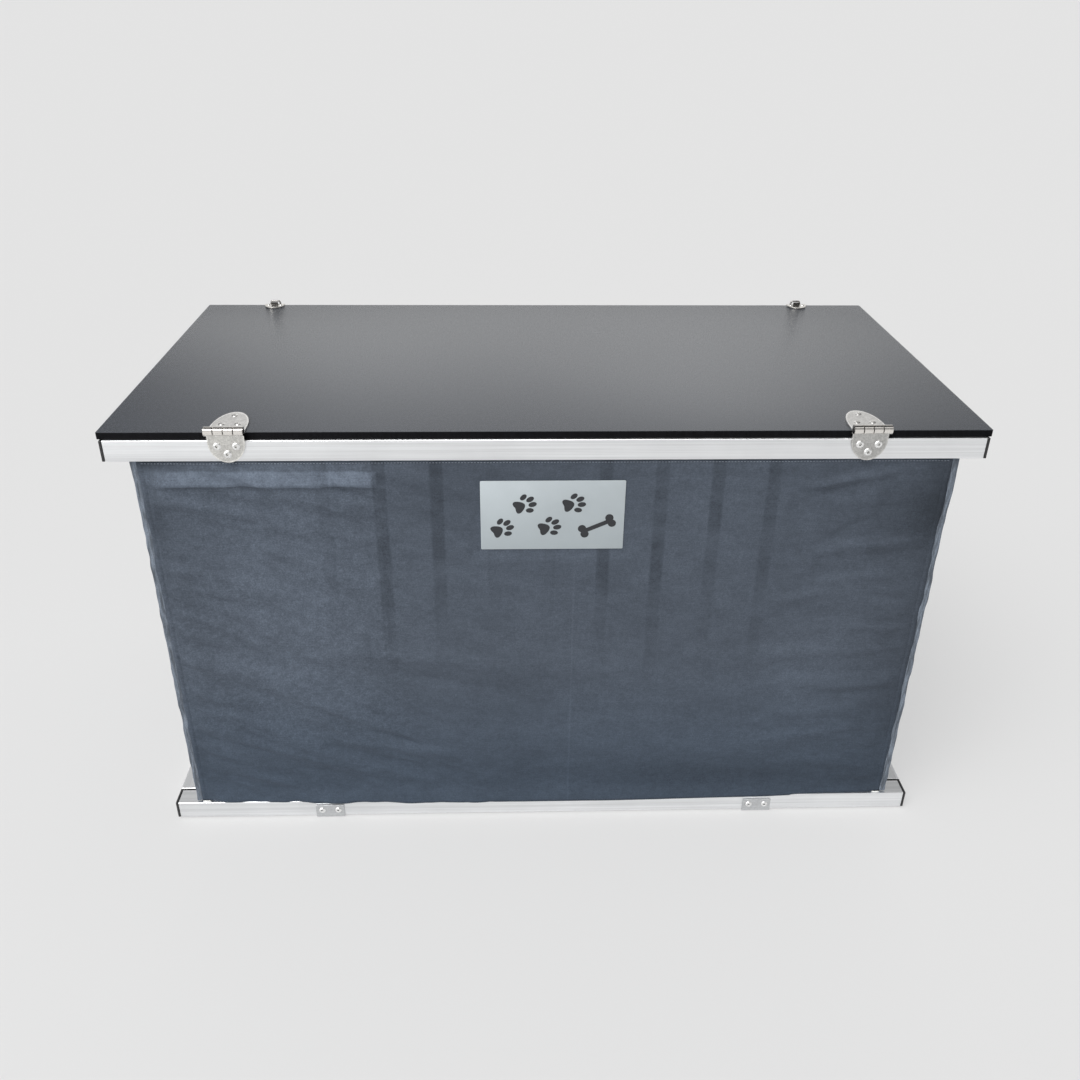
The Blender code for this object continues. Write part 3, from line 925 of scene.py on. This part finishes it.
def make_leaf(name, x, upper, material):
    """A leaf with rolled knuckles, its edges eased."""
    if upper:
        outline = half_oval(5 * MM, UPPER_STRAIGHT, UPPER_TIP, LEAF_HALF)
        low, high, normal = -KNUCKLE_R, LEAF_T - KNUCKLE_R, "Z"
    else:
        outline = [(u, -v) for u, v in half_oval(5 * MM, LOWER_STRAIGHT, LOWER_TIP, LEAF_HALF)]
        low, high, normal = KNUCKLE_R - LEAF_T, KNUCKLE_R, "Y"
    leaf = shaped(name, material, prism_mesh, outline, low, high, normal)
    for i in range(1 if upper else 0, 4, 2):
        start = (i - 2) * KNUCKLE_L + KNUCKLE_GAP / 2
        end = (i - 1) * KNUCKLE_L - KNUCKLE_GAP / 2
        if upper:
            corners = (start, 0, -KNUCKLE_R), (end, TANG, LEAF_T - KNUCKLE_R)
        else:
            corners = (start, KNUCKLE_R - LEAF_T, -TANG), (end, KNUCKLE_R, 0)
        combine(leaf, helper(box_mesh, *corners), "UNION")
        centre = ((start + end) / 2, 0, 0)
        combine(leaf, helper(rod_mesh, centre, ROLL_R, end - start), "UNION")
    combine(leaf, helper(rod_mesh, (0, 0, 0), PIN_HOLE, 60 * MM), "DIFFERENCE")
    leaf.location = (x, HINGE_AXIS.y, HINGE_AXIS.z)
    soften(leaf, 0.6 * MM, 3)
    return leaf


def make_hinge(side, x):
    upper = make_leaf(f"{side}_upper_leaf", x, True, UPPER_LEAF)
    settle(upper, "lid", "stainless", f"{side}_hinge_top_leaf")
    lower = make_leaf(f"{side}_front_leaf", x, False, FRONT_LEAVES[side])
    settle(lower, "frame", "stainless", f"{side}_hinge_front_leaf")
    centre = (x, HINGE_AXIS.y, HINGE_AXIS.z)
    # The pin is painted dark: shade in the gaps between the knuckles.
    pin = shaped(f"{side}_pin", PAINTED_DARK_STEEL, rod_mesh, centre, 2.0 * MM, 44.0 * MM)
    soften(pin, 0.5 * MM, 3)
    settle(pin, "frame", "stainless", f"{side}_hinge_pin")
    face = HINGE_AXIS.y + KNUCKLE_R - LEAF_T
    points = [(x + across * MM, face, HINGE_AXIS.z - down * MM) for across, down in LEAF_RIVETS]
    make_rivets(f"{side}_hinge_rivets", "stainless", points, (0, -1, 0))
    top = HINGE_AXIS.z - KNUCKLE_R + LEAF_T
    heads = []
    for i, (across, along) in enumerate(LEAF_SCREWS):
        point = Vector((x + across * MM, HINGE_AXIS.y + along * MM, top))
        heads.append(screw("head", point, (0, 0, 1), 3.8 * MM, 0.4 + 1.1 * i))
    settle(join(f"{side}_hinge_screws", heads), "lid", "stainless")


# ---------------------------------------------------------------- angle brackets


BRACKET_BEND = 3 * MM
BRACKET_RIVETS = 10.8 * MM, 12.6 * MM  # across from the middle, and up from the foot


def make_bracket(name, node, inward):
    low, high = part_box(node)
    thick = 2 * MM
    outer, tip = (low.y, high.y) if inward > 0 else (high.y, low.y)
    inner = outer + inward * thick
    bend = arc((BRACKET_BEND, BRACKET_BEND), BRACKET_BEND, 180, 270, 8)
    outline = [(inner, high.z), (outer, high.z)]
    outline += [(outer + inward * u, low.z + v) for u, v in bend]
    outline += [(tip, low.z), (tip, low.z + thick), (inner, low.z + thick)]
    bracket = shaped(name, PLATE_STEEL, prism_mesh, outline, low.x, high.x, "X")
    soften(bracket, 0.35 * MM, 2, 50)
    settle(bracket, "frame", "bracket_steel", node)
    middle = (low.x + high.x) / 2
    across, up = BRACKET_RIVETS
    points = [(middle + side * across, outer, low.z + up) for side in (-1, 1)]
    make_rivets(name + "_rivets", "bracket_steel", points, (0, -inward, 0), 0.95)


# ---------------------------------------------------------------- draw latches


SHEET = 1.5 * MM
EAR_R = 4 * MM
PIN_BORE = 1.8 * MM
WIRE_R = 1.25 * MM


def make_latch(side, x):
    pivot = JOINTS[f"{side}_lever_pivot"]
    y, z = pivot.y, pivot.z
    low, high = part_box(f"{side}_latch_base")
    base = shaped(f"{side}_base", STAINLESS, box_mesh, low, (high.x, low.y + SHEET, high.z))
    root = low.y + 0.7 * MM
    outline = [(root, z - EAR_R), *arc((y, z), EAR_R, -90, 90, 24), (root, z + EAR_R)]
    for sign in (-1, 1):
        edges = sorted((x + sign * 8 * MM, x + sign * 9.5 * MM))
        combine(base, helper(prism_mesh, outline, *edges, "X"), "UNION")
    combine(base, helper(rod_mesh, (x, y, z), PIN_BORE, 40 * MM), "DIFFERENCE")
    soften(base, 0.3 * MM)
    settle(base, "frame", "stainless", f"{side}_latch_base")
    points = [(x, low.y + SHEET, z + up * 8.0 * MM) for up in (-1, 1)]
    make_rivets(f"{side}_base_rivets", "stainless", points, (0, 1, 0), 0.6)
    bm = bmesh.new()
    length = 20 * MM
    rod_mesh(bm, (x, y, z), 1.5 * MM, length)
    for sign in (-1, 1):
        rod_mesh(bm, (x + sign * length / 2, y, z), 2.4 * MM, 0.7 * MM)
    pin = object_from(f"{side}_lever_pin", bm, BRIGHT_STEEL)
    soften(pin, 0.25 * MM)
    settle(pin, "frame", "stainless", f"{side}_latch_pin")
    make_lever(side, x, y, z)
    make_bail(side, x, y, z)
    make_keeper(side, x)


def make_lever(side, x, y, z):
    """A pressed channel with a flared grip."""
    face, middle = y + 3.5 * MM, y + 3.5 * MM + SHEET / 2
    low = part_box(f"{side}_latch_lever")[0].z
    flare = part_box(f"{side}_latch_lever")[1].y
    bend = z - 34 * MM
    outline = [(face, z), (face, bend), (flare - SHEET, low), (flare, low + 0.8 * MM)]
    outline += [(face + SHEET, bend + 1.2 * MM), (face + SHEET, z)]
    edges = x - 7 * MM, x + 7 * MM
    lever = shaped(f"{side}_lever_handle", STAINLESS, prism_mesh, outline, *edges, "X")
    cheek = arc((y, z), 3.5 * MM, 15, 180, 24)
    cheek += [(y - 3.5 * MM, z - 12 * MM), (middle, z - 16 * MM), (middle, z - 0.5 * MM)]
    for sign in (-1, 1):
        edges = sorted((x + sign * 5.5 * MM, x + sign * 7 * MM))
        combine(lever, helper(prism_mesh, cheek, *edges, "X"), "UNION")
    combine(lever, helper(rod_mesh, (x, y, z), PIN_BORE, 22 * MM), "DIFFERENCE")
    combine(lever, helper(rod_mesh, (x, y, z - 9 * MM), 1.55 * MM, 22 * MM), "DIFFERENCE")
    soften(lever, 0.35 * MM)
    settle(lever, f"{side}_lever", "stainless", f"{side}_latch_lever")


def rounded_path(points, radius, steps=6):
    """The same path with each inner corner turned into a short arc-like bend."""
    path = [Vector(points[0])]
    for before, corner, after in zip(points, points[1:], points[2:]):
        corner = Vector(corner)
        back = Vector(before) - corner
        ahead = Vector(after) - corner
        reach = min(radius, back.length * 0.45, ahead.length * 0.45)
        start = corner + back.normalized() * reach
        end = corner + ahead.normalized() * reach
        for i in range(steps + 1):
            t = i / steps
            path.append(start * (1 - t) ** 2 + corner * 2 * t * (1 - t) + end * t**2)
    path.append(Vector(points[-1]))
    return path


def make_bail(side, x, y, z):
    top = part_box(f"{side}_latch_bail")[1].z - WIRE_R
    foot = JOINTS[f"{side}_bail_pivot"].z
    lean = y - 1.8 * MM
    wide = 11.2 * MM
    half = [(4.8 * MM, y, foot), (wide, y, foot), (wide, y, foot + 16 * MM), (6.0 * MM, lean, top)]
    points = [(-px, py, pz) for px, py, pz in half] + half[::-1]
    path = rounded_path(points, 2.2 * MM)
    curve = bpy.data.curves.new(f"{side}_bail_wire", "CURVE")
    curve.dimensions = "3D"
    curve.bevel_depth = WIRE_R
    curve.bevel_resolution = 6
    curve.use_fill_caps = True
    spline = curve.splines.new("POLY")
    spline.points.add(len(path) - 1)
    for i, point in enumerate(path):
        spline.points[i].co = (x + point.x, point.y, point.z, 1)
    curve.materials.append(BAIL_STEEL)
    bail = in_scene(f"{side}_bail_wire", curve)
    settle(bail, f"{side}_bail", "stainless", f"{side}_latch_bail")


def make_keeper(side, x):
    low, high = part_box(f"{side}_latch_keeper")
    rear = PLATE_HIGH.y
    outline = [(x + u, rear - v) for u, v in half_oval(0, 5 * MM, 21 * MM, 14.5 * MM)]
    edges = low.z, low.z + SHEET
    keeper = shaped(f"{side}_keeper_plate", STAINLESS, prism_mesh, outline, *edges, "Z")
    back = rear - 4.5 * MM
    hook = [(back, low.z + 0.7 * MM), (back, high.z - 0.8 * MM)]
    hook += arc((back - 0.8 * MM, high.z - 0.8 * MM), 0.8 * MM, 0, 90, 6)
    hook += [(back - 3 * MM, high.z), (back - 3 * MM, high.z - 1.3 * MM)]
    hook += [(back - SHEET, high.z - 1.8 * MM), (back - SHEET, low.z + 0.7 * MM)]
    combine(keeper, helper(prism_mesh, hook, x - 5 * MM, x + 5 * MM, "X"), "UNION")
    # The hook takes the dark steel: a painted dark reflection.
    keeper.data.materials.append(PAINTED_DARK_STEEL)
    for polygon in keeper.data.polygons:
        polygon.material_index = 1 if polygon.center.z > low.z + 1.6 * MM else 0
    soften(keeper, 0.25 * MM)
    settle(keeper, "lid", "stainless", f"{side}_latch_keeper")
    heads = []
    for i, sign in enumerate((-1, 1)):
        point = Vector((x + sign * 9.0 * MM, rear - 6.5 * MM, low.z + SHEET))
        heads.append(screw("head", point, (0, 0, 1), 2.4 * MM, 0.3 + i))
    settle(join(f"{side}_keeper_screws", heads), "lid", "stainless")


# ---------------------------------------------------------------- cloth cover

CORNER_R = 8.0 * MM
COVER_HALF = COVER_HIGH.x
CLOTH_T = 0.9 * MM
STEP = 3.2 * MM
FINE_STEP = 0.9 * MM
FINE_REACH = 20 * MM

# Long folds on the front: (x, z) at both ends in millimetres, up from the foot, then width and height.
FRONT_FOLDS = [
    (-455, 478, -250, 418, 7, 1.1),
    (-458, 440, -330, 396, 8, -1.2),
    (-458, 392, -180, 288, 10, 1.5),
    (-430, 352, -230, 268, 8, -1.2),
    (-458, 330, -262, 222, 10, 1.6),
    (-458, 285, -215, 176, 9, -1.4),
    (-450, 262, -205, 132, 11, 1.7),
    (-458, 196, -300, 128, 10, -1.6),
    (-458, 160, -360, 96, 9, 1.4),
    (-458, 110, -390, 52, 9, -1.2),
    (-215, 262, 60, 190, 12, 1.3),
    (-180, 232, -20, 176, 10, -1.0),
    (-170, 350, 20, 312, 13, -1.0),
    (318, 494, 458, 508, 6, 1.6),
    (330, 484, 460, 496, 6, -1.5),
    (350, 430, 460, 452, 12, -1.6),
    (330, 404, 460, 412, 9, 1.2),
    (340, 376, 460, 384, 8, -1.2),
    (300, 340, 460, 352, 11, 1.0),
    (300, 236, 460, 216, 12, -1.1),
    (300, 120, 460, 128, 14, 1.2),
]
FOLD_GAIN = 2.3
CLOTH_ROOM = 0.7  # millimetres that the cloth can sink before it meets the bars
LABEL_LOW, LABEL_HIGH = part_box("label_patch")
LABEL_MIDDLE = ((LABEL_LOW + LABEL_HIGH) / 2 - Vector((0, 0, BASE_Z))) / MM
LABEL_HALF = (LABEL_HIGH - LABEL_LOW) / MM / 2 + Vector((2, 2, 2))


def bell(value):
    return np.exp(-(value**2))


def fold_height(x, z, fold):
    """One fold: a smooth ridge or valley along a line, fading towards its far end."""
    x0, z0, x1, z1, width, height = fold
    along = np.array([x1 - x0, z1 - z0], float)
    length = np.hypot(*along)
    along /= length
    t = (x - x0) * along[0] + (z - z0) * along[1]
    off = -(x - x0) * along[1] + (z - z0) * along[0]
    bow = 0.05 * length * np.sin(np.clip(t / length, 0, 1) * math.pi)
    share = np.clip(t / length, -0.25, 1.3)
    fade = bell(np.maximum(share - 0.35, 0) / 0.42) * bell(np.minimum(share, 0) / 0.12)
    spread = width * (0.75 + 0.6 * np.clip(share, 0, 1))
    return height * fade * bell((off - bow) / spread)


def value_noise(u, v, seed):
    """Smooth seeded noise between -1 and 1, about one unit from bump to bump."""
    grid = np.random.default_rng(seed).uniform(-1, 1, (256, 256))
    iu, iv = np.floor(u).astype(int), np.floor(v).astype(int)
    fu, fv = u - iu, v - iv
    fu, fv = fu * fu * (3 - 2 * fu), fv * fv * (3 - 2 * fv)
    a, b = grid[iu % 256, iv % 256], grid[(iu + 1) % 256, iv % 256]
    c, d = grid[iu % 256, (iv + 1) % 256], grid[(iu + 1) % 256, (iv + 1) % 256]
    return (a * (1 - fu) + b * fu) * (1 - fv) + (c * (1 - fu) + d * fu) * fv


def creases(s, t, seed, across, along, octaves=3):
    """Wrinkles that run along s: each octave is half as wide and less than half as high."""
    total = np.zeros_like(s)
    height = 1.0
    for i in range(octaves):
        warp = 0.45 * value_noise(s / along * 1.7, t / across * 0.6, seed + 50 + i)
        total += height * value_noise(s / along, t / across + warp, seed + i)
        across *= 0.5
        along *= 0.55
        height *= 0.42
    return total


def smoothstep(value, low, high):
    t = np.clip((value - low) / (high - low), 0, 1)
    return t * t * (3 - 2 * t)


def front_relief(x, z):
    """How far the front wall stands out, in millimetres, at x and z in millimetres."""
    out = np.full_like(x, 1.0)
    for fold in FRONT_FOLDS:
        out += FOLD_GAIN * fold_height(x, z, fold)
    left = smoothstep(-x, -20, 300)
    right = smoothstep(x, 180, 430)
    slope = 0.30 + 0.28 * smoothstep(-z, -430, -180) - 0.18 * smoothstep(-z, -150, -60)
    fan = z + slope * (x + 460)
    out += 4.0 * left * creases(x, fan, 11, 26, 130)
    patchy = smoothstep(value_noise(x / 95, z / 70, 83), -0.5, 0.4)
    steep = z + (slope + 0.12) * (x + 460)
    crumple = creases(x + 8 * value_noise(x / 30, z / 30, 77), steep, 71, 15, 62, 2)
    out += 2.6 * smoothstep(-x, -40, 220) * patchy * crumple
    out += 2.0 * right * creases(x, z - 0.10 * (x - 460), 23, 24, 150)
    out += 0.9 * right * creases(x, z + 0.05 * x, 91, 14, 70, 2)
    out += 1.5 * creases(x, z + 0.12 * x, 37, 40, 230)
    ripple = 0.5 + 0.5 * np.cos(2 * math.pi * x / (1000 * BAR_PITCH))
    out += 0.4 * ripple * smoothstep(z, 220, 420)
    hem = np.clip((519 - z) / 22, 0, 1) * smoothstep(z, 494, 498)
    out += 4.0 * hem * (1 - smoothstep(x, -202, -196))
    step = smoothstep(z, 80, 160) * (1 - smoothstep(z, 380, 480)) * (1 - smoothstep(-x, 205, 330))
    out += 0.8 * smoothstep(-x, 191, 197) * step
    beside = smoothstep(np.abs(x - LABEL_MIDDLE.x), LABEL_HALF.x, LABEL_HALF.x + 18)
    above = smoothstep(np.abs(z - LABEL_MIDDLE.z), LABEL_HALF.z, LABEL_HALF.z + 14)
    belly = bell((z - 112) / 30) - 0.6 * bell((z - 50) / 18)
    out += 2.4 * belly * (0.55 + 0.45 * smoothstep(x, -250, 200))
    return out * np.maximum(beside, above)


def plain_relief(x, z, seed, half):
    """The same kind of relief for the walls that face the sides and the rear."""
    edge = smoothstep(np.abs(x), half * 0.45, half)
    out = 0.9 * creases(x, z + 0.15 * x, seed, 34, 180)
    out += 1.2 * edge * creases(x, z + 0.45 * np.abs(x), seed + 7, 24, 110)
    out += 0.35 * np.cos(2 * math.pi * x / (1000 * BAR_PITCH)) * smoothstep(z, 220, 420)
    return out + 1.8 * bell((z - 108) / 34)


def perimeter():
    """Points round the cover: (wall, x, y, outward x, outward y, place from the wall's middle)."""
    front, rear, half, r = COVER_LOW.y, COVER_REAR, COVER_HALF, CORNER_R
    walls = [
        ("front", Vector((-half + r, front)), Vector((half - r, front)), Vector((0, -1))),
        ("right", Vector((half, front + r)), Vector((half, rear - r)), Vector((1, 0))),
        ("rear", Vector((half - r, rear)), Vector((-half + r, rear)), Vector((0, 1))),
        ("left", Vector((-half, rear - r)), Vector((-half, front + r)), Vector((-1, 0))),
    ]
    rows = []
    for name, start, end, out in walls:
        length = (end - start).length
        near = int(FINE_REACH / FINE_STEP)
        span = length - 2 * near * FINE_STEP
        middle = int(span / STEP)
        places = [i * FINE_STEP for i in range(near)]
        places += [near * FINE_STEP + span * i / middle for i in range(middle)]
        places += [length - near * FINE_STEP + i * FINE_STEP for i in range(near + 1)]
        for place in places:
            point = start + (end - start) * (place / length)
            rows.append((name, point.x, point.y, out.x, out.y, place - length / 2))
        corner = end + Vector((-out.x, -out.y)) * r
        base = math.atan2(out.y, out.x)
        for i in range(1, 10):
            angle = base + math.pi / 2 * i / 10
            nx, ny = math.cos(angle), math.sin(angle)
            rows.append(("corner", corner.x + nx * r, corner.y + ny * r, nx, ny, 0.0))
    return rows


def make_cover():
    """One closed band of cloth round both bar grids, from the upper to the lower rails."""
    rows = perimeter()
    low = COVER_LOW.z
    high = COVER_HIGH.z
    z = low + (high - low) * np.linspace(0, 1, int((high - low) / STEP) + 1)
    kinds = np.array([row[0] for row in rows])
    base = np.array([row[1:] for row in rows], float)
    zz, xx = np.meshgrid(z, base[:, 0])
    yy, nx, ny, along = (np.repeat(base[:, i : i + 1], len(z), 1) for i in range(1, 5))
    zmm = (zz - BASE_Z) * 1000
    out = np.zeros_like(zz)
    for wall, seed in (("rear", 21), ("left", 31), ("right", 41)):
        chosen = kinds == wall
        half = np.abs(along[chosen]).max() * 1000
        out[chosen] = plain_relief(along[chosen] * 1000, zmm[chosen], seed, half)
    chosen = kinds == "front"
    out[chosen] = front_relief(xx[chosen] * 1000, zmm[chosen])
    edge = np.abs(along) * 1000
    length = np.zeros(len(rows))
    for wall in ("front", "rear", "left", "right"):
        length[kinds == wall] = np.abs(base[kinds == wall, 4]).max() * 1000
    inset = np.where((kinds == "corner")[:, None], 0.0, length[:, None] - edge)
    pin = smoothstep(inset, 0, 26)
    top_pin = smoothstep((high - zz) * 1000, 0, 9)
    out = out * pin * top_pin
    out += 1.1 * (1 - pin) * top_pin * creases(xx * 300, zmm, 51, 26, 400)
    out -= 0.5 * bell((inset - 2.2) / 1.3) * (kinds != "corner")[:, None] * top_pin
    out += hem_roll(xx, zz, kinds)
    out = np.where(out < 0, -CLOTH_ROOM * np.tanh(-out / CLOTH_ROOM), out)
    px = xx + nx * out * MM
    py = yy + ny * out * MM
    pz = zz + hem_drop(xx, zz, kinds)
    co = np.stack([px, py, pz], -1).reshape(-1, 3)
    count, per = len(rows), len(z)
    faces = []
    for i in range(count):
        a, b = i * per, ((i + 1) % count) * per
        faces += [(a + j, b + j, b + j + 1, a + j + 1) for j in range(per - 1)]
    mesh = bpy.data.meshes.new("fabric_cover")
    mesh.from_pydata(co.tolist(), [], faces)
    mesh.materials.append(CLOTH)
    mesh.shade_smooth()
    cover = in_scene("fabric_cover", mesh)
    solid = cover.modifiers.new("thickness", "SOLIDIFY")
    solid.thickness = CLOTH_T
    solid.offset = -1.0
    settle(cover, "frame", "cover_cloth", "cover_front", "cover_rear", "cover_left", "cover_right")
    length = 2 * (2 * COVER_HALF + COVER_REAR - COVER_LOW.y)
    return rows, co.reshape(count, per, 3)


HEM_DROP = 4.2


def hem_curve(xx):
    """How far the front wall's lower edge hangs at x, in millimetres: most in the middle."""
    return HEM_DROP * np.clip(1 - (np.abs(xx) / (COVER_HALF - 13 * MM)) ** 2, 0, 1)


def hem_roll(xx, zz, kinds):
    """The front wall's lower hem stands out over the rail's face, in millimetres."""
    height = (zz - BASE_Z) * 1000
    rail_out = (COVER_LOW.y - FRONT) * 1000 + 1.6
    roll = rail_out * smoothstep(hem_curve(xx), 0.8, 2.8) * (1 - smoothstep(height, 27, 52))
    return np.where((kinds == "front")[:, None], roll, 0.0)


def hem_drop(xx, zz, kinds):
    """How far each point of the front wall hangs below its place, in metres."""
    height = (zz - BASE_Z) * 1000
    drop = -MM * hem_curve(xx) * (1 - smoothstep(height, 25, 60))
    return np.where((kinds == "front")[:, None], drop, 0.0)


# ---------------------------------------------------------------- label, stitches and tabs


def placed(points, centre, tilt, size=1.0):
    """The points scaled, turned by tilt degrees and moved."""
    cos, sin = math.cos(math.radians(tilt)), math.sin(math.radians(tilt))
    scaled = [(u * size, v * size) for u, v in points]
    return [(centre[0] + u * cos - v * sin, centre[1] + u * sin + v * cos) for u, v in scaled]


def oval(centre, radii, tilt, steps=28):
    angles = [2 * math.pi * i / steps for i in range(steps)]
    return placed([(radii[0] * math.cos(a), radii[1] * math.sin(a)) for a in angles], centre, tilt)


# One paw print, 26 mm high: the centre, radii and tilt of each toe in millimetres, and half of the pad.
PAW_TOES = [
    ((-9.2, 3.0), (3.0, 4.6), 22),
    ((-3.6, 9.0), (3.1, 4.9), 8),
    ((3.6, 9.0), (3.1, 4.9), -8),
    ((9.2, 3.0), (3.0, 4.6), -22),
]
PAW_PAD = [(0, 1.2), (3.4, -0.4), (6.6, -4.6), (8.4, -8.6), (7.2, -11.8), (3.8, -12.2), (0, -11.0)]


def rounded_ring(ring):
    """The ring with each corner cut a quarter of the way in."""
    cut = []
    for (u0, v0), (u1, v1) in zip(ring, ring[1:] + ring[:1]):
        cut += [(u0 + (u1 - u0) * t, v0 + (v1 - v0) * t) for t in (0.25, 0.75)]
    return cut


def paw_outlines():
    pad = PAW_PAD + [(-u, v) for u, v in PAW_PAD[-2:0:-1]]
    for _ in range(3):
        pad = rounded_ring(pad)
    return [pad] + [oval(centre, radii, tilt) for centre, radii, tilt in PAW_TOES]


def bone_outline():
    """A bone 38 mm long: two knobs at each end of a narrow shaft."""
    reach, knob, waist = 15.0, 4.2, 2.3
    lift = 0.8 * knob
    shaft = math.degrees(math.asin((lift - waist) / knob))
    top = arc((reach, lift), knob, -53.1, 180 + shaft, 24) + arc((-reach, lift), knob, -shaft, 233.1, 24)
    return top + [(u, -v) for u, v in top[-2:0:-1]]


# Each paw print's place on the label, its tilt and its size. The label's middle is zero.
PAW_TRAIL = [((-59, -17), -60, 1.0), ((-33, 14), -66, 1.0), ((-4, -15), -70, 1.0), ((24, 15), -74, 1.0)]
BONE = ((52, -14), 24, 1.15)


def make_label():
    low, high = LABEL_LOW, LABEL_HIGH
    bm = bmesh.new()
    box_mesh(bm, low, high)
    corners = [edge for edge in bm.edges if abs(edge.verts[0].co.y - edge.verts[1].co.y) > 1e-5]
    bmesh.ops.bevel(bm, geom=corners, offset=1.5 * MM, segments=5, profile=0.5, affect="EDGES")
    rims = [edge for edge in bm.edges if all(abs(v.co.y - low.y) < 1e-6 for v in edge.verts)]
    bmesh.ops.bevel(bm, geom=rims, offset=0.18 * MM, segments=2, profile=0.5, affect="EDGES")
    settle(object_from("label", bm, LABEL_CLOTH), "frame", "label_print", "label_patch")
    middle = (low + high) / 2
    bm = bmesh.new()
    shapes = []
    for centre, tilt, size in PAW_TRAIL:
        shapes += [placed(shape, centre, tilt, size) for shape in paw_outlines()]
    shapes.append(placed(bone_outline(), *BONE))
    for shape in shapes:
        points = [(middle.x + u * MM, middle.z + v * MM) for u, v in shape]
        prism_mesh(bm, points, low.y - 0.10 * MM, low.y - 0.01 * MM, "Y")
    settle(object_from("label_print", bm, PRINT), "frame", "label_print")


STITCH_PITCH = 3.6 * MM
STITCH_HALF = 1.25 * MM
STITCH_INSET = 4.0 * MM
STITCH_PROFILE = [(0, -1), (0.26, -0.86), (0.36, 0), (0.26, 0.86), (0, 1)]


def make_stitches(rows, surface):
    """One row of stitches along the upper hem, round all four walls, lying on the cloth."""
    level = int(round((surface.shape[1] - 1) * (1 - STITCH_INSET / (COVER_HIGH.z - COVER_LOW.z))))
    bm = bmesh.new()
    for wall in ("front", "right", "rear", "left"):
        chosen = [i for i, row in enumerate(rows) if row[0] == wall]
        line = surface[chosen, level]
        out = Vector((*rows[chosen[0]][3:5], 0))
        reach = np.concatenate([[0], np.cumsum(np.linalg.norm(np.diff(line, axis=0), axis=1))])
        middles = np.arange(STITCH_PITCH / 2, reach[-1], STITCH_PITCH)
        ends = []
        for sign in (-1, 1):
            ends.append([np.interp(middles + sign * STITCH_HALF, reach, line[:, i]) for i in range(3)])
        for first, last in zip(np.transpose(ends[0]), np.transpose(ends[1])):
            first, last = Vector(first), Vector(last)
            centre = (first + last) / 2 + out * 0.12 * MM
            profile = [(radius * MM, place * STITCH_HALF) for radius, place in STITCH_PROFILE]
            turned(bm, profile, facing(centre, last - first), 6)
    settle(object_from("hem_stitches", bm, THREAD_MATERIAL, 80), "frame", "cover_cloth")


BINDING_HALF = 4.0 * MM
BINDING_THIN = 0.75 * MM
BINDING_STEP = 2.5 * MM
BINDING_INSIDE = 3.6 * MM
BINDING_SIDES = 12


def make_binding(name, x_side, y_side, seed):
    """The sewn-out seam along one upright corner: a flat ribbon with a slight twist and wave."""
    y = COVER_LOW.y + 1.6 * MM if y_side < 0 else COVER_REAR - 1.6 * MM
    corner = Vector((x_side * (COVER_HALF - 1.0 * MM), y))
    low, high = COVER_LOW.z + 0.5 * MM, COVER_HIGH.z - 0.4 * MM
    steps = int((high - low) / BINDING_STEP)
    bm = bmesh.new()
    rings = []
    for i in range(steps + 1):
        z = low + (high - low) * i / steps
        place = np.array([z * 1000 / 23])
        lean = 0.20 + 0.30 * value_noise(place, place * 0, seed)[0]
        wave = 0.7 * MM * value_noise(place * 1.7, place * 0, seed + 5)[0]
        out = Vector((x_side * math.cos(lean), y_side * math.sin(lean)))
        across = Vector((-out.y, out.x))
        centre = corner + out * (BINDING_HALF - BINDING_INSIDE + wave)
        ring = []
        for j in range(BINDING_SIDES):
            angle = 2 * math.pi * j / BINDING_SIDES
            point = centre + out * BINDING_HALF * math.cos(angle)
            point += across * BINDING_THIN * math.sin(angle)
            ring.append(bm.verts.new((point.x, point.y, z)))
        rings.append(ring)
    for first, second in zip(rings, rings[1:]):
        for j in range(BINDING_SIDES):
            k = (j + 1) % BINDING_SIDES
            bm.faces.new((first[j], first[k], second[k], second[j]))
    bm.faces.new(rings[0])
    bm.faces.new(rings[-1])
    settle(object_from(name, bm, BINDING, 60), "frame", "cover_cloth")


TAB_STEPS = 12


def make_tabs():
    """The ends of white binding that show under the cover's two front corners."""
    for side, sign in SIDES:
        bm = bmesh.new()
        x0, x1 = sorted((sign * (COVER_HALF - 14.5 * MM), sign * (COVER_HALF - 4.5 * MM)))
        rows = []
        for i in range(TAB_STEPS + 1):
            t = i / TAB_STEPS
            x = x0 + (x1 - x0) * t
            sag = 0.7 * MM * math.sin(math.pi * t)
            lift = 0.5 * MM * math.cos(3 * math.pi * t)
            centre = (COVER_LOW.y + 1.6 * MM, COVER_LOW.z - 0.5 * MM + lift * 0.3)
            profile = arc(centre, 2.0 * MM + sag * 0.5, 150, 290, 8)
            rows.append([bm.verts.new((x, py - sag * 0.3, pz)) for py, pz in profile])
        for first, second in zip(rows, rows[1:]):
            for j in range(len(first) - 1):
                bm.faces.new((first[j], first[j + 1], second[j + 1], second[j]))
        tab = object_from(f"{side}_binding_end", bm, WEBBING)
        solid = tab.modifiers.new("thickness", "SOLIDIFY")
        solid.thickness = 0.5 * MM
        solid.offset = 0
        settle(tab, "frame", "cover_cloth")


make_camera()
make_stage()
dress_frame()
make_plate()
make_bars()
for side_name, sign in SIDES:
    low_corner, high_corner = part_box(f"{side_name}_hinge_top_leaf")
    make_hinge(side_name, (low_corner.x + high_corner.x) / 2)
    make_latch(side_name, JOINTS[f"{side_name}_lever_pivot"].x)
    make_bracket(f"front_{side_name}_angle", f"front_{side_name}_bracket", 1)
    make_bracket(f"rear_{side_name}_angle", f"rear_{side_name}_bracket", -1)
cover_rows, cover_surface = make_cover()
make_label()
make_stitches(cover_rows, cover_surface)
make_tabs()
for side_name, sign in SIDES:
    make_binding(f"front_{side_name}_seam", sign, -1, 61 + sign)
    make_binding(f"rear_{side_name}_seam", sign, 1, 67 + sign)
